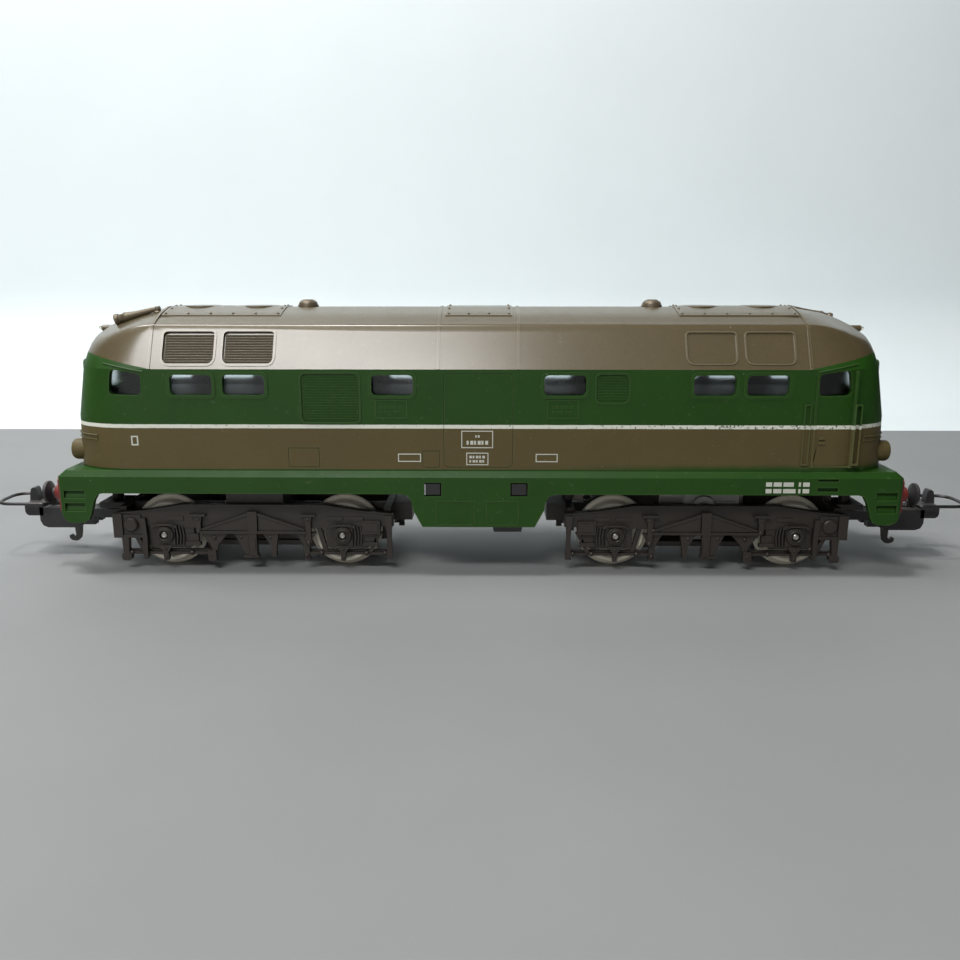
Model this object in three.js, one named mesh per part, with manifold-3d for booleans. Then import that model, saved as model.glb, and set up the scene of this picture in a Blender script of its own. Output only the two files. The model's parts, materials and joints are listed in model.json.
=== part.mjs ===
// Scale model of a diesel locomotive on two two-axle bogies, 16.5 mm gauge.
// Millimetres. X runs along the locomotive, Y across it, +Z up.
// The origin is the middle of the model at the bottom of the wheel flanges.
// The front end is at -X and the near side at -Y.
import * as THREE from 'three';
import { mergeVertices } from 'three/addons/utils/BufferGeometryUtils.js';
import Module from 'manifold-3d';

const wasm = await Module();
wasm.setup();

const FRONT = -1;
const REAR = 1;
const NEAR = -1;
const FAR = 1;
const ENDS = [['front', FRONT], ['rear', REAR]];
const SIDES = [['near', NEAR], ['far', FAR]];

// ---------- driving dimensions ----------
const BOGIE_X = 43.27; // bogie centre from the middle of the model
const HALF_WHEELBASE = 17.15; // axle from its bogie's centre
const AXLE_U = [-HALF_WHEELBASE, HALF_WHEELBASE];
const WHEEL_FACETS = 18;
const FLANGE_R = 7.2;
const TREAD_R = 6.0;
const WHEEL_BACK_Y = 7.15; // back face of a wheel
const WHEEL_FRONT_Y = 9.95; // outer face of a wheel
const AXLE_Z = FLANGE_R * Math.cos(Math.PI / WHEEL_FACETS); // a flat of each flange lies on z = 0
const AXLE_R = 1.0;
const JOURNAL_R = 0.6;
const JOURNAL_Y = 10.2; // where the axle steps down to its journal
const AXLE_TIP_Y = 12.9;

const WALL = 1.2; // moulded wall thickness
const BODY_Y = 15.2; // half width over the side walls
const SILL_Y = 15.9; // half width over the sill
const SILL_BOTTOM_Z = 16.1;
const SILL_EDGE_Z = 19.25;
const PLATFORM_Z = 20.4; // top of the sill's slope and of the end platforms
const BEAM_X = 78.5; // outer face of the end platforms
const WAIST_Z = 39.15; // where the side walls turn inwards
const ROOF_Z = 49.8;
const BLOCK_BOTTOM_Z = 10.4; // bottom of the corner blocks beside the couplers
const SKIRT_BOTTOM_Z = 9.8; // bottom of the middle skirt
const LUG_X = [-8.5, 7.5]; // latch lugs on each side
const LUG_Z = 17.0;

const BUFFER_Y = 10.05;
const BUFFER_Z = 15.0;
const BUFFER_FACE_X = 83.55;
const HEADLIGHT_Y = 9.0;
const HEADLIGHT_Z = 23.3;
const MARKER_Z = 45.7;
const CAP_X = 33.34; // roof exhaust caps
const HORN_X = 62.1; // horn foot
const HORN_Y = 4.05;

const GEAR_MODULE = 0.5;
const DRIVE_TEETH = 20;
const IDLER_TEETH = 22;
const PINION_TEETH = 10;
const GEAR_Y = [2.5, 4.5]; // the plane of the gears
const GEAR_PLATE_Y = [0.9, 2.1]; // wall of the motor bogie behind the gears
const GEAR_COVER_Y = [5.0, 6.1];
const IDLER_Z = AXLE_Z + 2.0;
const IDLER_U = 6.85; // idler shaft from the bogie's centre
const PINION_REACH = GEAR_MODULE * (IDLER_TEETH + PINION_TEETH) / 2; // idler shaft to motor shaft
const MOTOR_Z = IDLER_Z + Math.sqrt(PINION_REACH ** 2 - IDLER_U ** 2);
const MOTOR_R = 8.2;
const COLLAR_R = 12.4; // collar around the motor, on which the motor bogie turns
const COLLAR_BORE_R = 11.2;
const MOTOR_OPENING_R = 12.8; // hole in the chassis deck for that collar
const BALLAST_TOP_Z = 33.4;

const COUPLER_PIN_X = 72.5;
const HOOK_FACE_X = 92.0; // front of the coupler head
const LOOP_PIVOT_X = 80.0;
const LOOP_PIVOT_Z = 7.3;
const LOOP_Z = 11.1;
const LOOP_TIP_X = 97.1;
const LOOP_HALF_WIDTH = 4.6;
const WIRE_R = 0.34;

// ---------- colours ----------
const colours = {
  green: [0x2f5f2c, 0.5, 0.0],
  smoke: [0x6c7478, 0.1, 0.0],
  lens: [0xd8d4bc, 0.15, 0.0],
  bronze: [0x8d7a58, 0.45, 0.2],
  red: [0x8a2320, 0.5, 0.0],
  black: [0x242223, 0.5, 0.0],
  brownBlack: [0x2e2826, 0.6, 0.0],
  steel: [0xb4aa98, 0.35, 0.8],
  ballast: [0x55585a, 0.55, 0.7],
  brass: [0xb08d45, 0.4, 0.8],
  copper: [0xa8683c, 0.4, 0.8],
  paleGrey: [0xaaa89f, 0.5, 0.0],
  nylon: [0xcfc8b4, 0.5, 0.0],
};

// ---------- solids ----------
function solidOf(geometry) {
  const bare = geometry.index ? geometry.toNonIndexed() : geometry.clone();
  bare.deleteAttribute('normal');
  bare.deleteAttribute('uv');
  const merged = mergeVertices(bare, 1e-4);
  const vertProperties = new Float32Array(merged.attributes.position.array);
  const triVerts = new Uint32Array(merged.index.array);
  return new wasm.Manifold(new wasm.Mesh({ numProp: 3, vertProperties, triVerts }));
}

function geometryOf(solid) {
  const mesh = solid.getMesh();
  const geometry = new THREE.BufferGeometry();
  geometry.setAttribute('position', new THREE.BufferAttribute(mesh.vertProperties, 3));
  geometry.setIndex(new THREE.BufferAttribute(mesh.triVerts, 1));
  return geometry;
}

function joined(solids) {
  return solids.reduce((whole, piece) => whole.add(piece));
}

function cut(solid, tools) {
  return tools.reduce((whole, tool) => whole.subtract(tool), solid);
}

// a block between two corners, given as ranges in any order
function block([xa, xb], [ya, yb], [za, zb]) {
  const geometry = new THREE.BoxGeometry(Math.abs(xb - xa), Math.abs(yb - ya), Math.abs(zb - za));
  geometry.translate((xa + xb) / 2, (ya + yb) / 2, (za + zb) / 2);
  return solidOf(geometry);
}

function rod(axis, [from, to], [a, b], radius, facets = 12) {
  const geometry = new THREE.CylinderGeometry(radius, radius, Math.abs(to - from), facets);
  geometry.rotateY(Math.PI / facets);
  const middle = (from + to) / 2;
  if (axis === 'x') {
    geometry.rotateZ(-Math.PI / 2);
    geometry.translate(middle, a, b);
  } else if (axis === 'y') {
    geometry.translate(a, middle, b);
  } else {
    geometry.rotateX(Math.PI / 2);
    geometry.translate(a, b, middle);
  }
  return solidOf(geometry);
}

function shapeOf(outline) {
  if (outline instanceof THREE.Shape) return outline;
  return new THREE.Shape(outline.map(([x, y]) => new THREE.Vector2(x, y)));
}

function extruded(outline, depth) {
  return new THREE.ExtrudeGeometry(shapeOf(outline), { depth, bevelEnabled: false, curveSegments: 2 });
}

// an outline in X and Z, extruded across the model
function acrossPlate(outline, [ya, yb]) {
  const geometry = extruded(outline, Math.abs(yb - ya));
  geometry.rotateX(Math.PI / 2);
  geometry.translate(0, Math.max(ya, yb), 0);
  return solidOf(geometry);
}

// an outline in X and Y, extruded upwards
function levelPlate(outline, [za, zb]) {
  const geometry = extruded(outline, Math.abs(zb - za));
  geometry.translate(0, 0, Math.min(za, zb));
  return solidOf(geometry);
}

// an outline in Y and Z, extruded along the model
function alongBar(outline, [xa, xb]) {
  const geometry = extruded(outline, Math.abs(xb - xa));
  const axes = [new THREE.Vector3(0, 1, 0), new THREE.Vector3(0, 0, 1), new THREE.Vector3(1, 0, 0)];
  geometry.applyMatrix4(new THREE.Matrix4().makeBasis(...axes));
  geometry.translate(Math.min(xa, xb), 0, 0);
  return solidOf(geometry);
}

// a turned piece on an axis along Y through (x, z); the profile is [radius, y]
function turnedAcross(profile, x, z, facets) {
  const points = profile.map(([r, y]) => new THREE.Vector2(r, y));
  const geometry = new THREE.LatheGeometry(points, facets, Math.PI / facets);
  geometry.translate(x, 0, z);
  return solidOf(geometry);
}

// the same outline seen from the other side of the model
function mirroredProfile(profile, side) {
  return side > 0 ? profile : profile.map(([r, y]) => [r, -y]).reverse();
}

// a polygon with every corner rounded
function roundedPolygon(corners, radius) {
  const shape = new THREE.Shape();
  corners.forEach((corner, i) => {
    const here = new THREE.Vector2(...corner);
    const before = new THREE.Vector2(...corners.at(i - 1));
    const after = new THREE.Vector2(...corners[(i + 1) % corners.length]);
    const start = before.sub(here).setLength(radius).add(here);
    const end = after.sub(here).setLength(radius).add(here);
    if (i === 0) shape.moveTo(start.x, start.y);
    else shape.lineTo(start.x, start.y);
    shape.quadraticCurveTo(here.x, here.y, end.x, end.y);
  });
  return shape;
}

function symmetricOutline(half) {
  const other = half.map(([a, b]) => [-a, b]).reverse();
  return [...half, ...other];
}

// ---------- body shell ----------
// half of the cross-section above the platforms, from the foot to the top
function sectionHalf(inset) {
  return [
    [BODY_Y, 17.0],
    [BODY_Y, WAIST_Z],
    [11.4, 46.8],
    [10.2, 47.4],
    [7.3, 48.6],
    [4.5, 49.3],
    [2.2, ROOF_Z],
  ].map(([y, z]) => [y - inset, z > WAIST_Z ? z - inset : z]);
}

// half of the side view, with the leaning cab front and the rounded roof nose
function noseHalf(inset) {
  return [
    [76.7, 17.0],
    [76.3, 30.0],
    [74.3, 41.5],
    [73.9, 44.0],
    [73.0, 45.6],
    [70.6, 47.1],
    [66.5, 48.5],
    [59.6, ROOF_Z],
  ].map(([x, z]) => [x - inset, z > 43 ? z - inset : z]);
}

// half of the plan of one end: the cab narrows towards its flat front
function planHalf(inset) {
  return [
    [15.2, 0],
    [15.2, 66.5],
    [14.0, 71.0],
    [12.2, 74.3],
    [10.4, 75.9],
    [8.0, 76.7],
  ].map(([y, x]) => [y - inset, x === 0 ? 0 : x - inset]);
}

function planOutline(inset) {
  const rearRight = planHalf(inset).map(([y, x]) => [x, y]);
  const rearLeft = rearRight.map(([x, y]) => [x, -y]).reverse();
  const rearEnd = [...rearRight, ...rearLeft].filter(([x]) => x > 0);
  return [...rearEnd, ...rearEnd.map(([x, y]) => [-x, -y])];
}

function upperHull(inset) {
  const side = acrossPlate(symmetricOutline(noseHalf(inset)), [-20, 20]);
  const section = alongBar(symmetricOutline(sectionHalf(inset)), [-80, 80]);
  const plan = levelPlate(planOutline(inset), [15, 52]);
  return side.intersect(section).intersect(plan);
}

function platformOutline(inset) {
  const x = BEAM_X - inset;
  const y = SILL_Y - inset;
  const corner = 1.0;
  const quarter = [[x, y - corner], [x - corner, y]];
  const rearEnd = [...quarter, ...quarter.map(([a, b]) => [-a, b]).reverse()];
  return [...rearEnd, ...rearEnd.map(([a, b]) => [-a, -b])];
}

function sillHull() {
  const half = [[SILL_Y, SILL_BOTTOM_Z], [SILL_Y, SILL_EDGE_Z], [BODY_Y, PLATFORM_Z]];
  return alongBar(symmetricOutline(half), [-BEAM_X, BEAM_X]);
}

function cornerBlocks(end) {
  const outline = [
    [70.6, 16.3],
    [71.6, 15.8],
    [72.9, 11.6],
    [73.8, BLOCK_BOTTOM_Z],
    [76.8, BLOCK_BOTTOM_Z],
    [BEAM_X, 12.2],
    [BEAM_X, 16.3],
  ].map(([x, z]) => [end * x, z]);
  return acrossPlate(outline, [-SILL_Y, SILL_Y]);
}

function middleSkirt() {
  const half = [[10.5, SKIRT_BOTTOM_Z], [12.2, 13.0], [12.5, 14.8], [13.9, 16.3]];
  return acrossPlate(symmetricOutline(half), [-SILL_Y, SILL_Y]);
}

// the four side windows of one end, from the cab inwards
const WINDOWS = [
  [[61.5, 34.4], [67.8, 34.4], [67.2, 38.6], [61.5, 38.2]],
  [[48.5, 34.4], [56.2, 34.4], [56.2, 38.14], [48.5, 38.14]],
  [[38.9, 34.4], [46.6, 34.4], [46.6, 38.14], [38.9, 38.14]],
  [[11.9, 34.4], [19.5, 34.4], [19.5, 38.14], [11.9, 38.14]],
];

function windowOutline(corners, end, shrink) {
  const middleX = corners.reduce((sum, [x]) => sum + x, 0) / corners.length;
  const middleZ = corners.reduce((sum, [, z]) => sum + z, 0) / corners.length;
  const points = corners.map(([x, z]) => [
    end * (x - Math.sign(x - middleX) * shrink),
    z - Math.sign(z - middleZ) * shrink,
  ]);
  return roundedPolygon(points, 0.9);
}

function sideWindows(range, shrink) {
  return ENDS.flatMap(([, end]) =>
    WINDOWS.map((corners) => acrossPlate(windowOutline(corners, end, shrink), range)));
}

// two panes in each cab front
function frontPanes(end, range, shrink) {
  return SIDES.map(([, side]) => {
    const corners = [[0.8, 34.3], [6.9, 34.3], [6.6, 39.8], [0.8, 39.8]];
    const points = corners.map(([y, z]) => [
      side * (y + (y < 3 ? shrink : -shrink)),
      z + (z < 37 ? shrink : -shrink),
    ]);
    return alongBar(roundedPolygon(points, 0.9), range.map((x) => end * x));
  });
}

// the gap in each end that the coupler's arm swings in
function couplerGap(end) {
  return block([end * 76.8, end * 80.0], [-7.0, 7.0], [8.0, 13.0]);
}

function latchHoles() {
  return LUG_X.map((x) => block([x - 1.6, x + 1.6], [-17, 17], [LUG_Z - 1.3, LUG_Z + 1.3]));
}

function bodyShell() {
  const outer = joined([
    upperHull(0),
    joined([sillHull(), middleSkirt(), cornerBlocks(FRONT), cornerBlocks(REAR)])
      .intersect(levelPlate(platformOutline(0), [5, 25])),
  ]);
  const lowerRoom = levelPlate(platformOutline(WALL), [5, PLATFORM_Z - WALL]);
  const shell = cut(outer, [upperHull(WALL), lowerRoom]);
  const bulges = ENDS.flatMap(([, end]) => [
    ...SIDES.map(([, side]) =>
      rod('x', [end * 75.0, end * 78.1], [side * HEADLIGHT_Y, HEADLIGHT_Z], 2.05, 16)),
    rod('x', [end * 71.8, end * 74.6], [0, MARKER_Z], 1.2),
  ]);
  const seats = ENDS.flatMap(([, end]) => [
    ...SIDES.map(([, side]) =>
      rod('x', [end * 77.3, end * 79], [side * HEADLIGHT_Y, HEADLIGHT_Z], 1.6)),
    rod('x', [end * 74.0, end * 75], [0, MARKER_Z], 0.92),
    rod('z', [45, 52], [end * CAP_X, 0], 0.9),
    rod('z', [45, 52], [end * HORN_X, end * HORN_Y], 0.6, 8),
  ]);
  const panes = ENDS.flatMap(([, end]) => frontPanes(end, [72, 79], 0));
  const gaps = ENDS.map(([, end]) => couplerGap(end));
  return cut(joined([shell, ...bulges]), [
    ...seats,
    ...sideWindows([-17, 17], 0),
    ...panes,
    ...latchHoles(),
    ...gaps,
  ]);
}

// ---------- glazing and lenses ----------
function sideGlazing(side) {
  const strip = block([-66.4, 66.4], [side * 12.9, side * 13.6], [33.7, 38.9]);
  const panes = sideWindows([side * 13.4, side * 15.0], 0.2);
  return joined([strip, ...panes]);
}

function windscreen(end) {
  const slope = [[72.4, 33.8], [73.2, 33.8], [72.2, 40.2], [71.4, 40.2]].map(([x, z]) => [end * x, z]);
  const sheet = acrossPlate(slope, [-7.6, 7.6]);
  const front = acrossPlate([[75.6, 33.8], [74.6, 40.2], [71.6, 40.2], [72.6, 33.8]]
    .map(([x, z]) => [end * x, z]), [-8, 8]);
  const panes = frontPanes(end, [72.0, 77.0], 0.2).map((pane) => pane.intersect(front));
  return joined([sheet, ...panes]);
}

function domedLens(end, x, y, z, radius) {
  const seat = rod('x', [end * x, end * (x + 0.7)], [y, z], radius);
  const dome = rod('x', [end * (x + 0.7), end * (x + 1.0)], [y, z], radius * 0.8);
  return joined([seat, dome]);
}

// ---------- roof fittings ----------
function roofCap(end) {
  const profile = [[0, 48.4], [0.8, 48.4], [0.8, 49.85], [1.5, 49.85], [1.5, 50.3], [2.0, 50.5], [1.7, 51.1], [0, 51.2]];
  const points = profile.map(([r, z]) => new THREE.Vector2(r, z));
  const geometry = new THREE.LatheGeometry(points, 12);
  geometry.rotateX(Math.PI / 2);
  geometry.translate(end * CAP_X, 0, 0);
  return solidOf(geometry);
}

// a trumpet lying on the roof nose, held by one foot
function horn(end) {
  const y = end * HORN_Y;
  const tube = acrossPlate([[62.0, 49.75], [62.0, 50.35], [70.0, 49.2], [70.0, 48.6]]
    .map(([x, z]) => [end * x, z]), [y - 0.35, y + 0.35]);
  const bell = joined([
    rod('x', [end * 69.0, end * 69.9], [y, 48.9], 0.7, 12),
    rod('x', [end * 69.8, end * 70.5], [y, 48.8], 1.0, 12),
  ]);
  const foot = rod('z', [47.4, 50.2], [end * HORN_X, y], 0.5, 8);
  const boss = rod('z', [49.6, 50.5], [end * HORN_X, y], 0.8, 12);
  return joined([tube, bell, foot, boss]);
}

// ---------- ends ----------
function bufferBeam(end) {
  const plate = block([end * 78.6, end * 79.1], [-14.4, 14.4], [11.9, 20.0]);
  const sleeves = SIDES.map(([, side]) =>
    rod('x', [end * 79.0, end * 81.4], [side * BUFFER_Y, BUFFER_Z], 1.5));
  const bores = SIDES.map(([, side]) =>
    rod('x', [end * 78, end * 82], [side * BUFFER_Y, BUFFER_Z], 0.98));
  return cut(joined([plate, ...sleeves]), [...bores, couplerGap(end)]);
}

function buffer(end, side) {
  const shank = rod('x', [end * 78.7, end * 82.6], [side * BUFFER_Y, BUFFER_Z], 0.85);
  const back = rod('x', [end * 82.2, end * 82.8], [side * BUFFER_Y, BUFFER_Z], 1.5, 16);
  const head = rod('x', [end * 82.7, end * BUFFER_FACE_X], [side * BUFFER_Y, BUFFER_Z], 2.15, 16);
  return joined([shank, back, head]);
}

// ---------- chassis ----------
function chassisFrame() {
  const deck = block([-76.5, 76.5], [-13.9, 13.9], [17.6, 19.0]);
  const tub = block([-10.0, 10.0], [-13.9, 13.9], [9.9, 18.0]);
  const tubRoom = block([-8.8, 8.8], [-12.7, 12.7], [11.1, 20]);
  const lugs = LUG_X.map((x) => block([x - 1.35, x + 1.35], [-15.6, 15.6], [LUG_Z - 1.05, LUG_Z + 1.05]));
  const bellyBox = acrossPlate([[2.3, 10.2], [8.7, 10.2], [8.1, 7.8], [2.9, 7.8]], [-12.0, 5.0]);
  const boss = rod('z', [15.4, 18.0], [-BOGIE_X, 0], 3.4, 16);
  const solid = joined([deck, tub, boss, bellyBox]);
  const screwHole = rod('z', [12, 20], [-BOGIE_X, 0], 1.3, 12);
  const motorOpening = rod('z', [15, 22], [BOGIE_X, 0], MOTOR_OPENING_R, 24);
  return cut(joined([cut(solid, [tubRoom]), ...lugs]), [
    block([-6.4, 5.4], [-12.7, 12.7], [14, 20]),
    screwHole,
    motorOpening,
  ]);
}

function ballastWeight() {
  const outline = [
    [-66, 19.2], [28.5, 19.2], [28.5, 24.5], [58.5, 24.5], [58.5, 19.2], [66, 19.2],
    [66, BALLAST_TOP_Z], [-66, BALLAST_TOP_Z],
  ];
  return acrossPlate(outline, [-11.0, 11.0]);
}

// ---------- bogies ----------
// place on a bogie: u is measured from its centre towards the middle of the model
function bogieX(end, u) {
  return end * (BOGIE_X - u);
}

function bogieRange(end, [ua, ub]) {
  return [bogieX(end, ua), bogieX(end, ub)];
}

function bogieOutline(end, points) {
  return points.map(([u, z]) => [bogieX(end, u), z]);
}

// end beams, and the tongue that carries the coupler's pin and a post under the deck
function bogieEnds(end, beamTopZ) {
  const beams = [-1, 1].map((way) => block(bogieRange(end, [way * 24.9, way * 26.3]), [-10.3, 10.3], [7.6, beamTopZ]));
  const tongue = block(bogieRange(end, [-26.0, -33.4]), [-3.2, 3.2], [10.0, 11.1]);
  const post = rod('z', [10.8, 15.8], [end * 74.0, 0], 1.15, 12);
  const pin = rod('z', [7.2, 10.5], [end * COUPLER_PIN_X, 0], 0.9, 12);
  const innerBox = block(bogieRange(end, [26.0, 30.0]), [-6.0, 6.0], [8.5, 12.0]);
  return [...beams, tongue, post, pin, innerBox];
}

function axleHoles(end) {
  return AXLE_U.map((u) => rod('y', [-9, 9], [bogieX(end, u), AXLE_Z], 1.25, 12));
}

function frontBogieFrame() {
  const webs = SIDES.map(([, side]) =>
    block(bogieRange(FRONT, [-25.5, 25.5]), [side * 5.4, side * 6.6], [4.7, 12.2]));
  const bolster = block(bogieRange(FRONT, [-5.5, 5.5]), [-10.3, 10.3], [8.0, 15.1]);
  const pivotHole = rod('z', [5, 18], [-BOGIE_X, 0], 1.6, 16);
  return cut(joined([...webs, bolster, ...bogieEnds(FRONT, 12.2)]), [...axleHoles(FRONT), pivotHole]);
}

function pivotScrew() {
  const shank = rod('z', [7.0, 17.4], [-BOGIE_X, 0], 1.2, 12);
  const head = rod('z', [6.2, 7.7], [-BOGIE_X, 0], 2.4, 16);
  const slot = block([-BOGIE_X - 3, -BOGIE_X + 3], [-0.25, 0.25], [5.8, 6.7]);
  return cut(joined([shank, head]), [slot]);
}

function shaftHoles() {
  return [
    ...[-IDLER_U, IDLER_U].map((u) => rod('y', [0, 9], [bogieX(REAR, u), IDLER_Z], 0.95, 12)),
    rod('y', [0, 9], [BOGIE_X, MOTOR_Z], 0.95, 12),
  ];
}

function gearWallOutline(topZ) {
  return bogieOutline(REAR, [
    [-21.5, 4.7], [21.5, 4.7], [21.5, 10.5], [12.0, topZ], [-12.0, topZ], [-21.5, 10.5],
  ]);
}

// the motor bogie's frame, turned in the chassis by the collar around the motor
function rearBogieFrame() {
  const wall = acrossPlate(gearWallOutline(16.0), GEAR_PLATE_Y);
  const stretch = block(bogieRange(REAR, [-25.5, 25.5]), GEAR_PLATE_Y, [8.0, 10.4]);
  const arms = [-1, 1].map((way) => block(bogieRange(REAR, [way * 11.4, way * 26.2]), [-4.5, 4.5], [15.5, 16.8]));
  const posts = [-1, 1].map((way) => block(bogieRange(REAR, [way * 24.9, way * 26.3]), [-4.5, 4.5], [8.0, 16.8]));
  const collar = rod('z', [15.5, 19.9], [BOGIE_X, 0], COLLAR_R, 24);
  const collarRoom = rod('z', [14, 22], [BOGIE_X, 0], COLLAR_BORE_R, 24);
  const wallRoom = rod('z', [14, 22], [BOGIE_X, 0], 11.6, 24)
    .intersect(block([BOGIE_X - 12, BOGIE_X + 12], [GEAR_PLATE_Y[0] - 0.01, GEAR_PLATE_Y[1] + 0.01], [14, 16.1]));
  const ring = cut(collar, [cut(collarRoom, [wallRoom])]);
  return cut(joined([wall, stretch, ...arms, ...posts, ring, ...bogieEnds(REAR, 12.2)]), [
    ...axleHoles(REAR),
    ...shaftHoles(),
  ]);
}

function retainingRing() {
  const ring = rod('z', [20.2, 21.0], [BOGIE_X, 0], 13.4, 24);
  return cut(ring, [rod('z', [20, 22], [BOGIE_X, 0], 11.4, 24)]);
}

function gearCover() {
  return cut(acrossPlate(gearWallOutline(15.2), GEAR_COVER_Y), [...axleHoles(REAR), ...shaftHoles()]);
}

function keeperPlate(end, [ya, yb]) {
  const plate = block(bogieRange(end, [-20.5, 20.5]), [ya, yb], [3.4, 4.4]);
  const ribs = [-1, 1].map((way) => block(bogieRange(end, [way * 9.5, way * 11.5]), [ya + 0.6, yb - 0.6], [2.9, 3.6]));
  return joined([plate, ...ribs]);
}

// a spring strip that wipes the backs of two wheels
function pickup(side) {
  const strip = block(bogieRange(FRONT, [-15.0, 15.0]), [side * 6.7, side * 6.95], [5.8, 7.2]);
  const pad = block(bogieRange(FRONT, [-2.2, 2.2]), [side * 6.7, side * 7.4], [5.2, 7.6]);
  return joined([strip, pad]);
}

// ---------- side frames ----------
function sideFrame(end, side) {
  const y = (inner, outer) => [side * inner, side * outer];
  const bar = (points, inner, outer) => acrossPlate(bogieOutline(end, points), y(inner, outer));
  const box = ([ua, ub], [za, zb], inner, outer) => block(bogieRange(end, [ua, ub]), y(inner, outer), [za, zb]);
  const beam = bar([
    [-26.5, 8.6], [-26.5, 11.5], [-14.5, 11.7], [-13.0, 13.1], [13.0, 13.1], [14.5, 11.7], [26.5, 11.5], [26.5, 8.6],
    [21.0, 8.6], [20.2, 9.6], [9.6, 9.6], [8.6, 8.7], [-8.6, 8.7], [-9.6, 9.6], [-20.2, 9.6], [-21.0, 8.6],
  ], 10.5, 12.2);
  const truss = bar([[-9.5, 8.9], [9.5, 8.9], [9.5, 10.4], [0, 12.3], [-9.5, 10.4]], 12.0, 12.6);
  const post = box([-1.1, 1.1], [3.8, 12.3], 11.2, 12.9);
  const lowerPost = box([-2.4, 2.4], [3.8, 7.0], 11.0, 12.5);
  const endBlock = box([-26.5, -20.6], [7.4, 11.4], 11.0, 12.8);
  const innerBlock = box([20.4, 24.4], [6.2, 10.0], 11.0, 12.8);
  const tie = box([-26.6, 26.7], [3.3, 4.6], 11.2, 12.0);
  const endPosts = [-25.6, 25.6].map((u) => box([u - 0.9, u + 0.9], [3.3, 9.6], 11.2, 12.2));
  const hangers = [-9.8, 9.8].map((u) => box([u - 0.8, u + 0.8], [3.6, 12.0], 11.6, 12.7));
  const axleboxes = AXLE_U.flatMap((u) => [
    box([u - 3.4, u + 3.4], [4.9, 10.2], 10.6, 12.2),
    bar([[u - 1.9, 5.2], [u + 1.9, 5.2], [u + 1.1, 2.8], [u - 1.1, 2.8]], 11.0, 12.2),
    rod('y', y(12.0, 12.8), [bogieX(end, u), AXLE_Z], 1.7, 10),
  ]);
  const bores = AXLE_U.map((u) => rod('y', y(9, 12.95), [bogieX(end, u), AXLE_Z], 0.85, 8));
  return cut(joined([beam, truss, post, lowerPost, endBlock, innerBlock, tie, ...endPosts, ...hangers,
    ...axleboxes]), bores);
}

// ---------- wheelsets ----------
const AXLES = [
  ['1', FRONT, AXLE_U[0]],
  ['2', FRONT, AXLE_U[1]],
  ['3', REAR, AXLE_U[1]],
  ['4', REAR, AXLE_U[0]],
];

function axle(x) {
  return turnedAcross([
    [0, -AXLE_TIP_Y], [JOURNAL_R, -AXLE_TIP_Y], [JOURNAL_R, -JOURNAL_Y], [AXLE_R, -JOURNAL_Y],
    [AXLE_R, JOURNAL_Y], [JOURNAL_R, JOURNAL_Y], [JOURNAL_R, AXLE_TIP_Y], [0, AXLE_TIP_Y],
  ], x, AXLE_Z, 12);
}

function wheel(x, side) {
  const bore = AXLE_R + 0.06;
  const profile = [
    [bore, WHEEL_BACK_Y], [FLANGE_R, WHEEL_BACK_Y], [FLANGE_R, WHEEL_BACK_Y + 0.5], [TREAD_R + 0.1, 8.1],
    [TREAD_R, WHEEL_FRONT_Y], [5.0, WHEEL_FRONT_Y], [4.8, 9.3], [bore, 9.3], [bore, WHEEL_BACK_Y],
  ];
  return turnedAcross(mirroredProfile(profile, side), x, AXLE_Z, WHEEL_FACETS);
}

// ---------- gear train and motor ----------
// a spur gear with straight-sided teeth: each tooth is given by half its width at the root and at the tip
function gear(teeth, phase, x, z, boreR) {
  const pitchR = GEAR_MODULE * teeth / 2;
  const rootR = pitchR - 0.55;
  const tipR = pitchR + 0.35;
  const outline = [];
  for (let i = 0; i < teeth; i += 1) {
    const middle = phase + 2 * Math.PI * i / teeth;
    const places = [[-0.5, rootR], [-0.18, tipR], [0.18, tipR], [0.5, rootR]];
    places.forEach(([halfWidth, r]) => {
      const angle = middle + halfWidth / r;
      outline.push([r * Math.cos(angle), r * Math.sin(angle)]);
    });
  }
  const placed = outline.map(([a, b]) => [x + a, z + b]);
  const wheelBody = acrossPlate(placed, GEAR_Y);
  return boreR ? wheelBody.subtract(rod('y', [GEAR_Y[0] - 1, GEAR_Y[1] + 1], [x, z], boreR, 12)) : wheelBody;
}

// the phase that puts the next gear's gap on this gear's tooth
function meshedPhase(from, fromTeeth, fromPhase, to, toTeeth) {
  const direction = Math.atan2(to[1] - from[1], to[0] - from[0]);
  const place = (direction - fromPhase) * fromTeeth / (2 * Math.PI);
  return direction + Math.PI - (0.5 - place) * 2 * Math.PI / toTeeth;
}

const axle3 = [bogieX(REAR, AXLE_U[1]), AXLE_Z];
const idler3 = [bogieX(REAR, IDLER_U), IDLER_Z];
const motorAxis = [BOGIE_X, MOTOR_Z];
const idler4 = [bogieX(REAR, -IDLER_U), IDLER_Z];
const axle4 = [bogieX(REAR, AXLE_U[0]), AXLE_Z];
const phaseAxle3 = 0;
const phaseIdler3 = meshedPhase(axle3, DRIVE_TEETH, phaseAxle3, idler3, IDLER_TEETH);
const phasePinion = meshedPhase(idler3, IDLER_TEETH, phaseIdler3, motorAxis, PINION_TEETH);
const phaseIdler4 = meshedPhase(motorAxis, PINION_TEETH, phasePinion, idler4, IDLER_TEETH);
const phaseAxle4 = meshedPhase(idler4, IDLER_TEETH, phaseIdler4, axle4, DRIVE_TEETH);

function idlerGear([x, z], phase) {
  const journals = rod('y', [GEAR_PLATE_Y[0] + 0.1, GEAR_COVER_Y[1] - 0.1], [x, z], 0.8, 12);
  return joined([gear(IDLER_TEETH, phase, x, z, 0), journals]);
}

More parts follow.
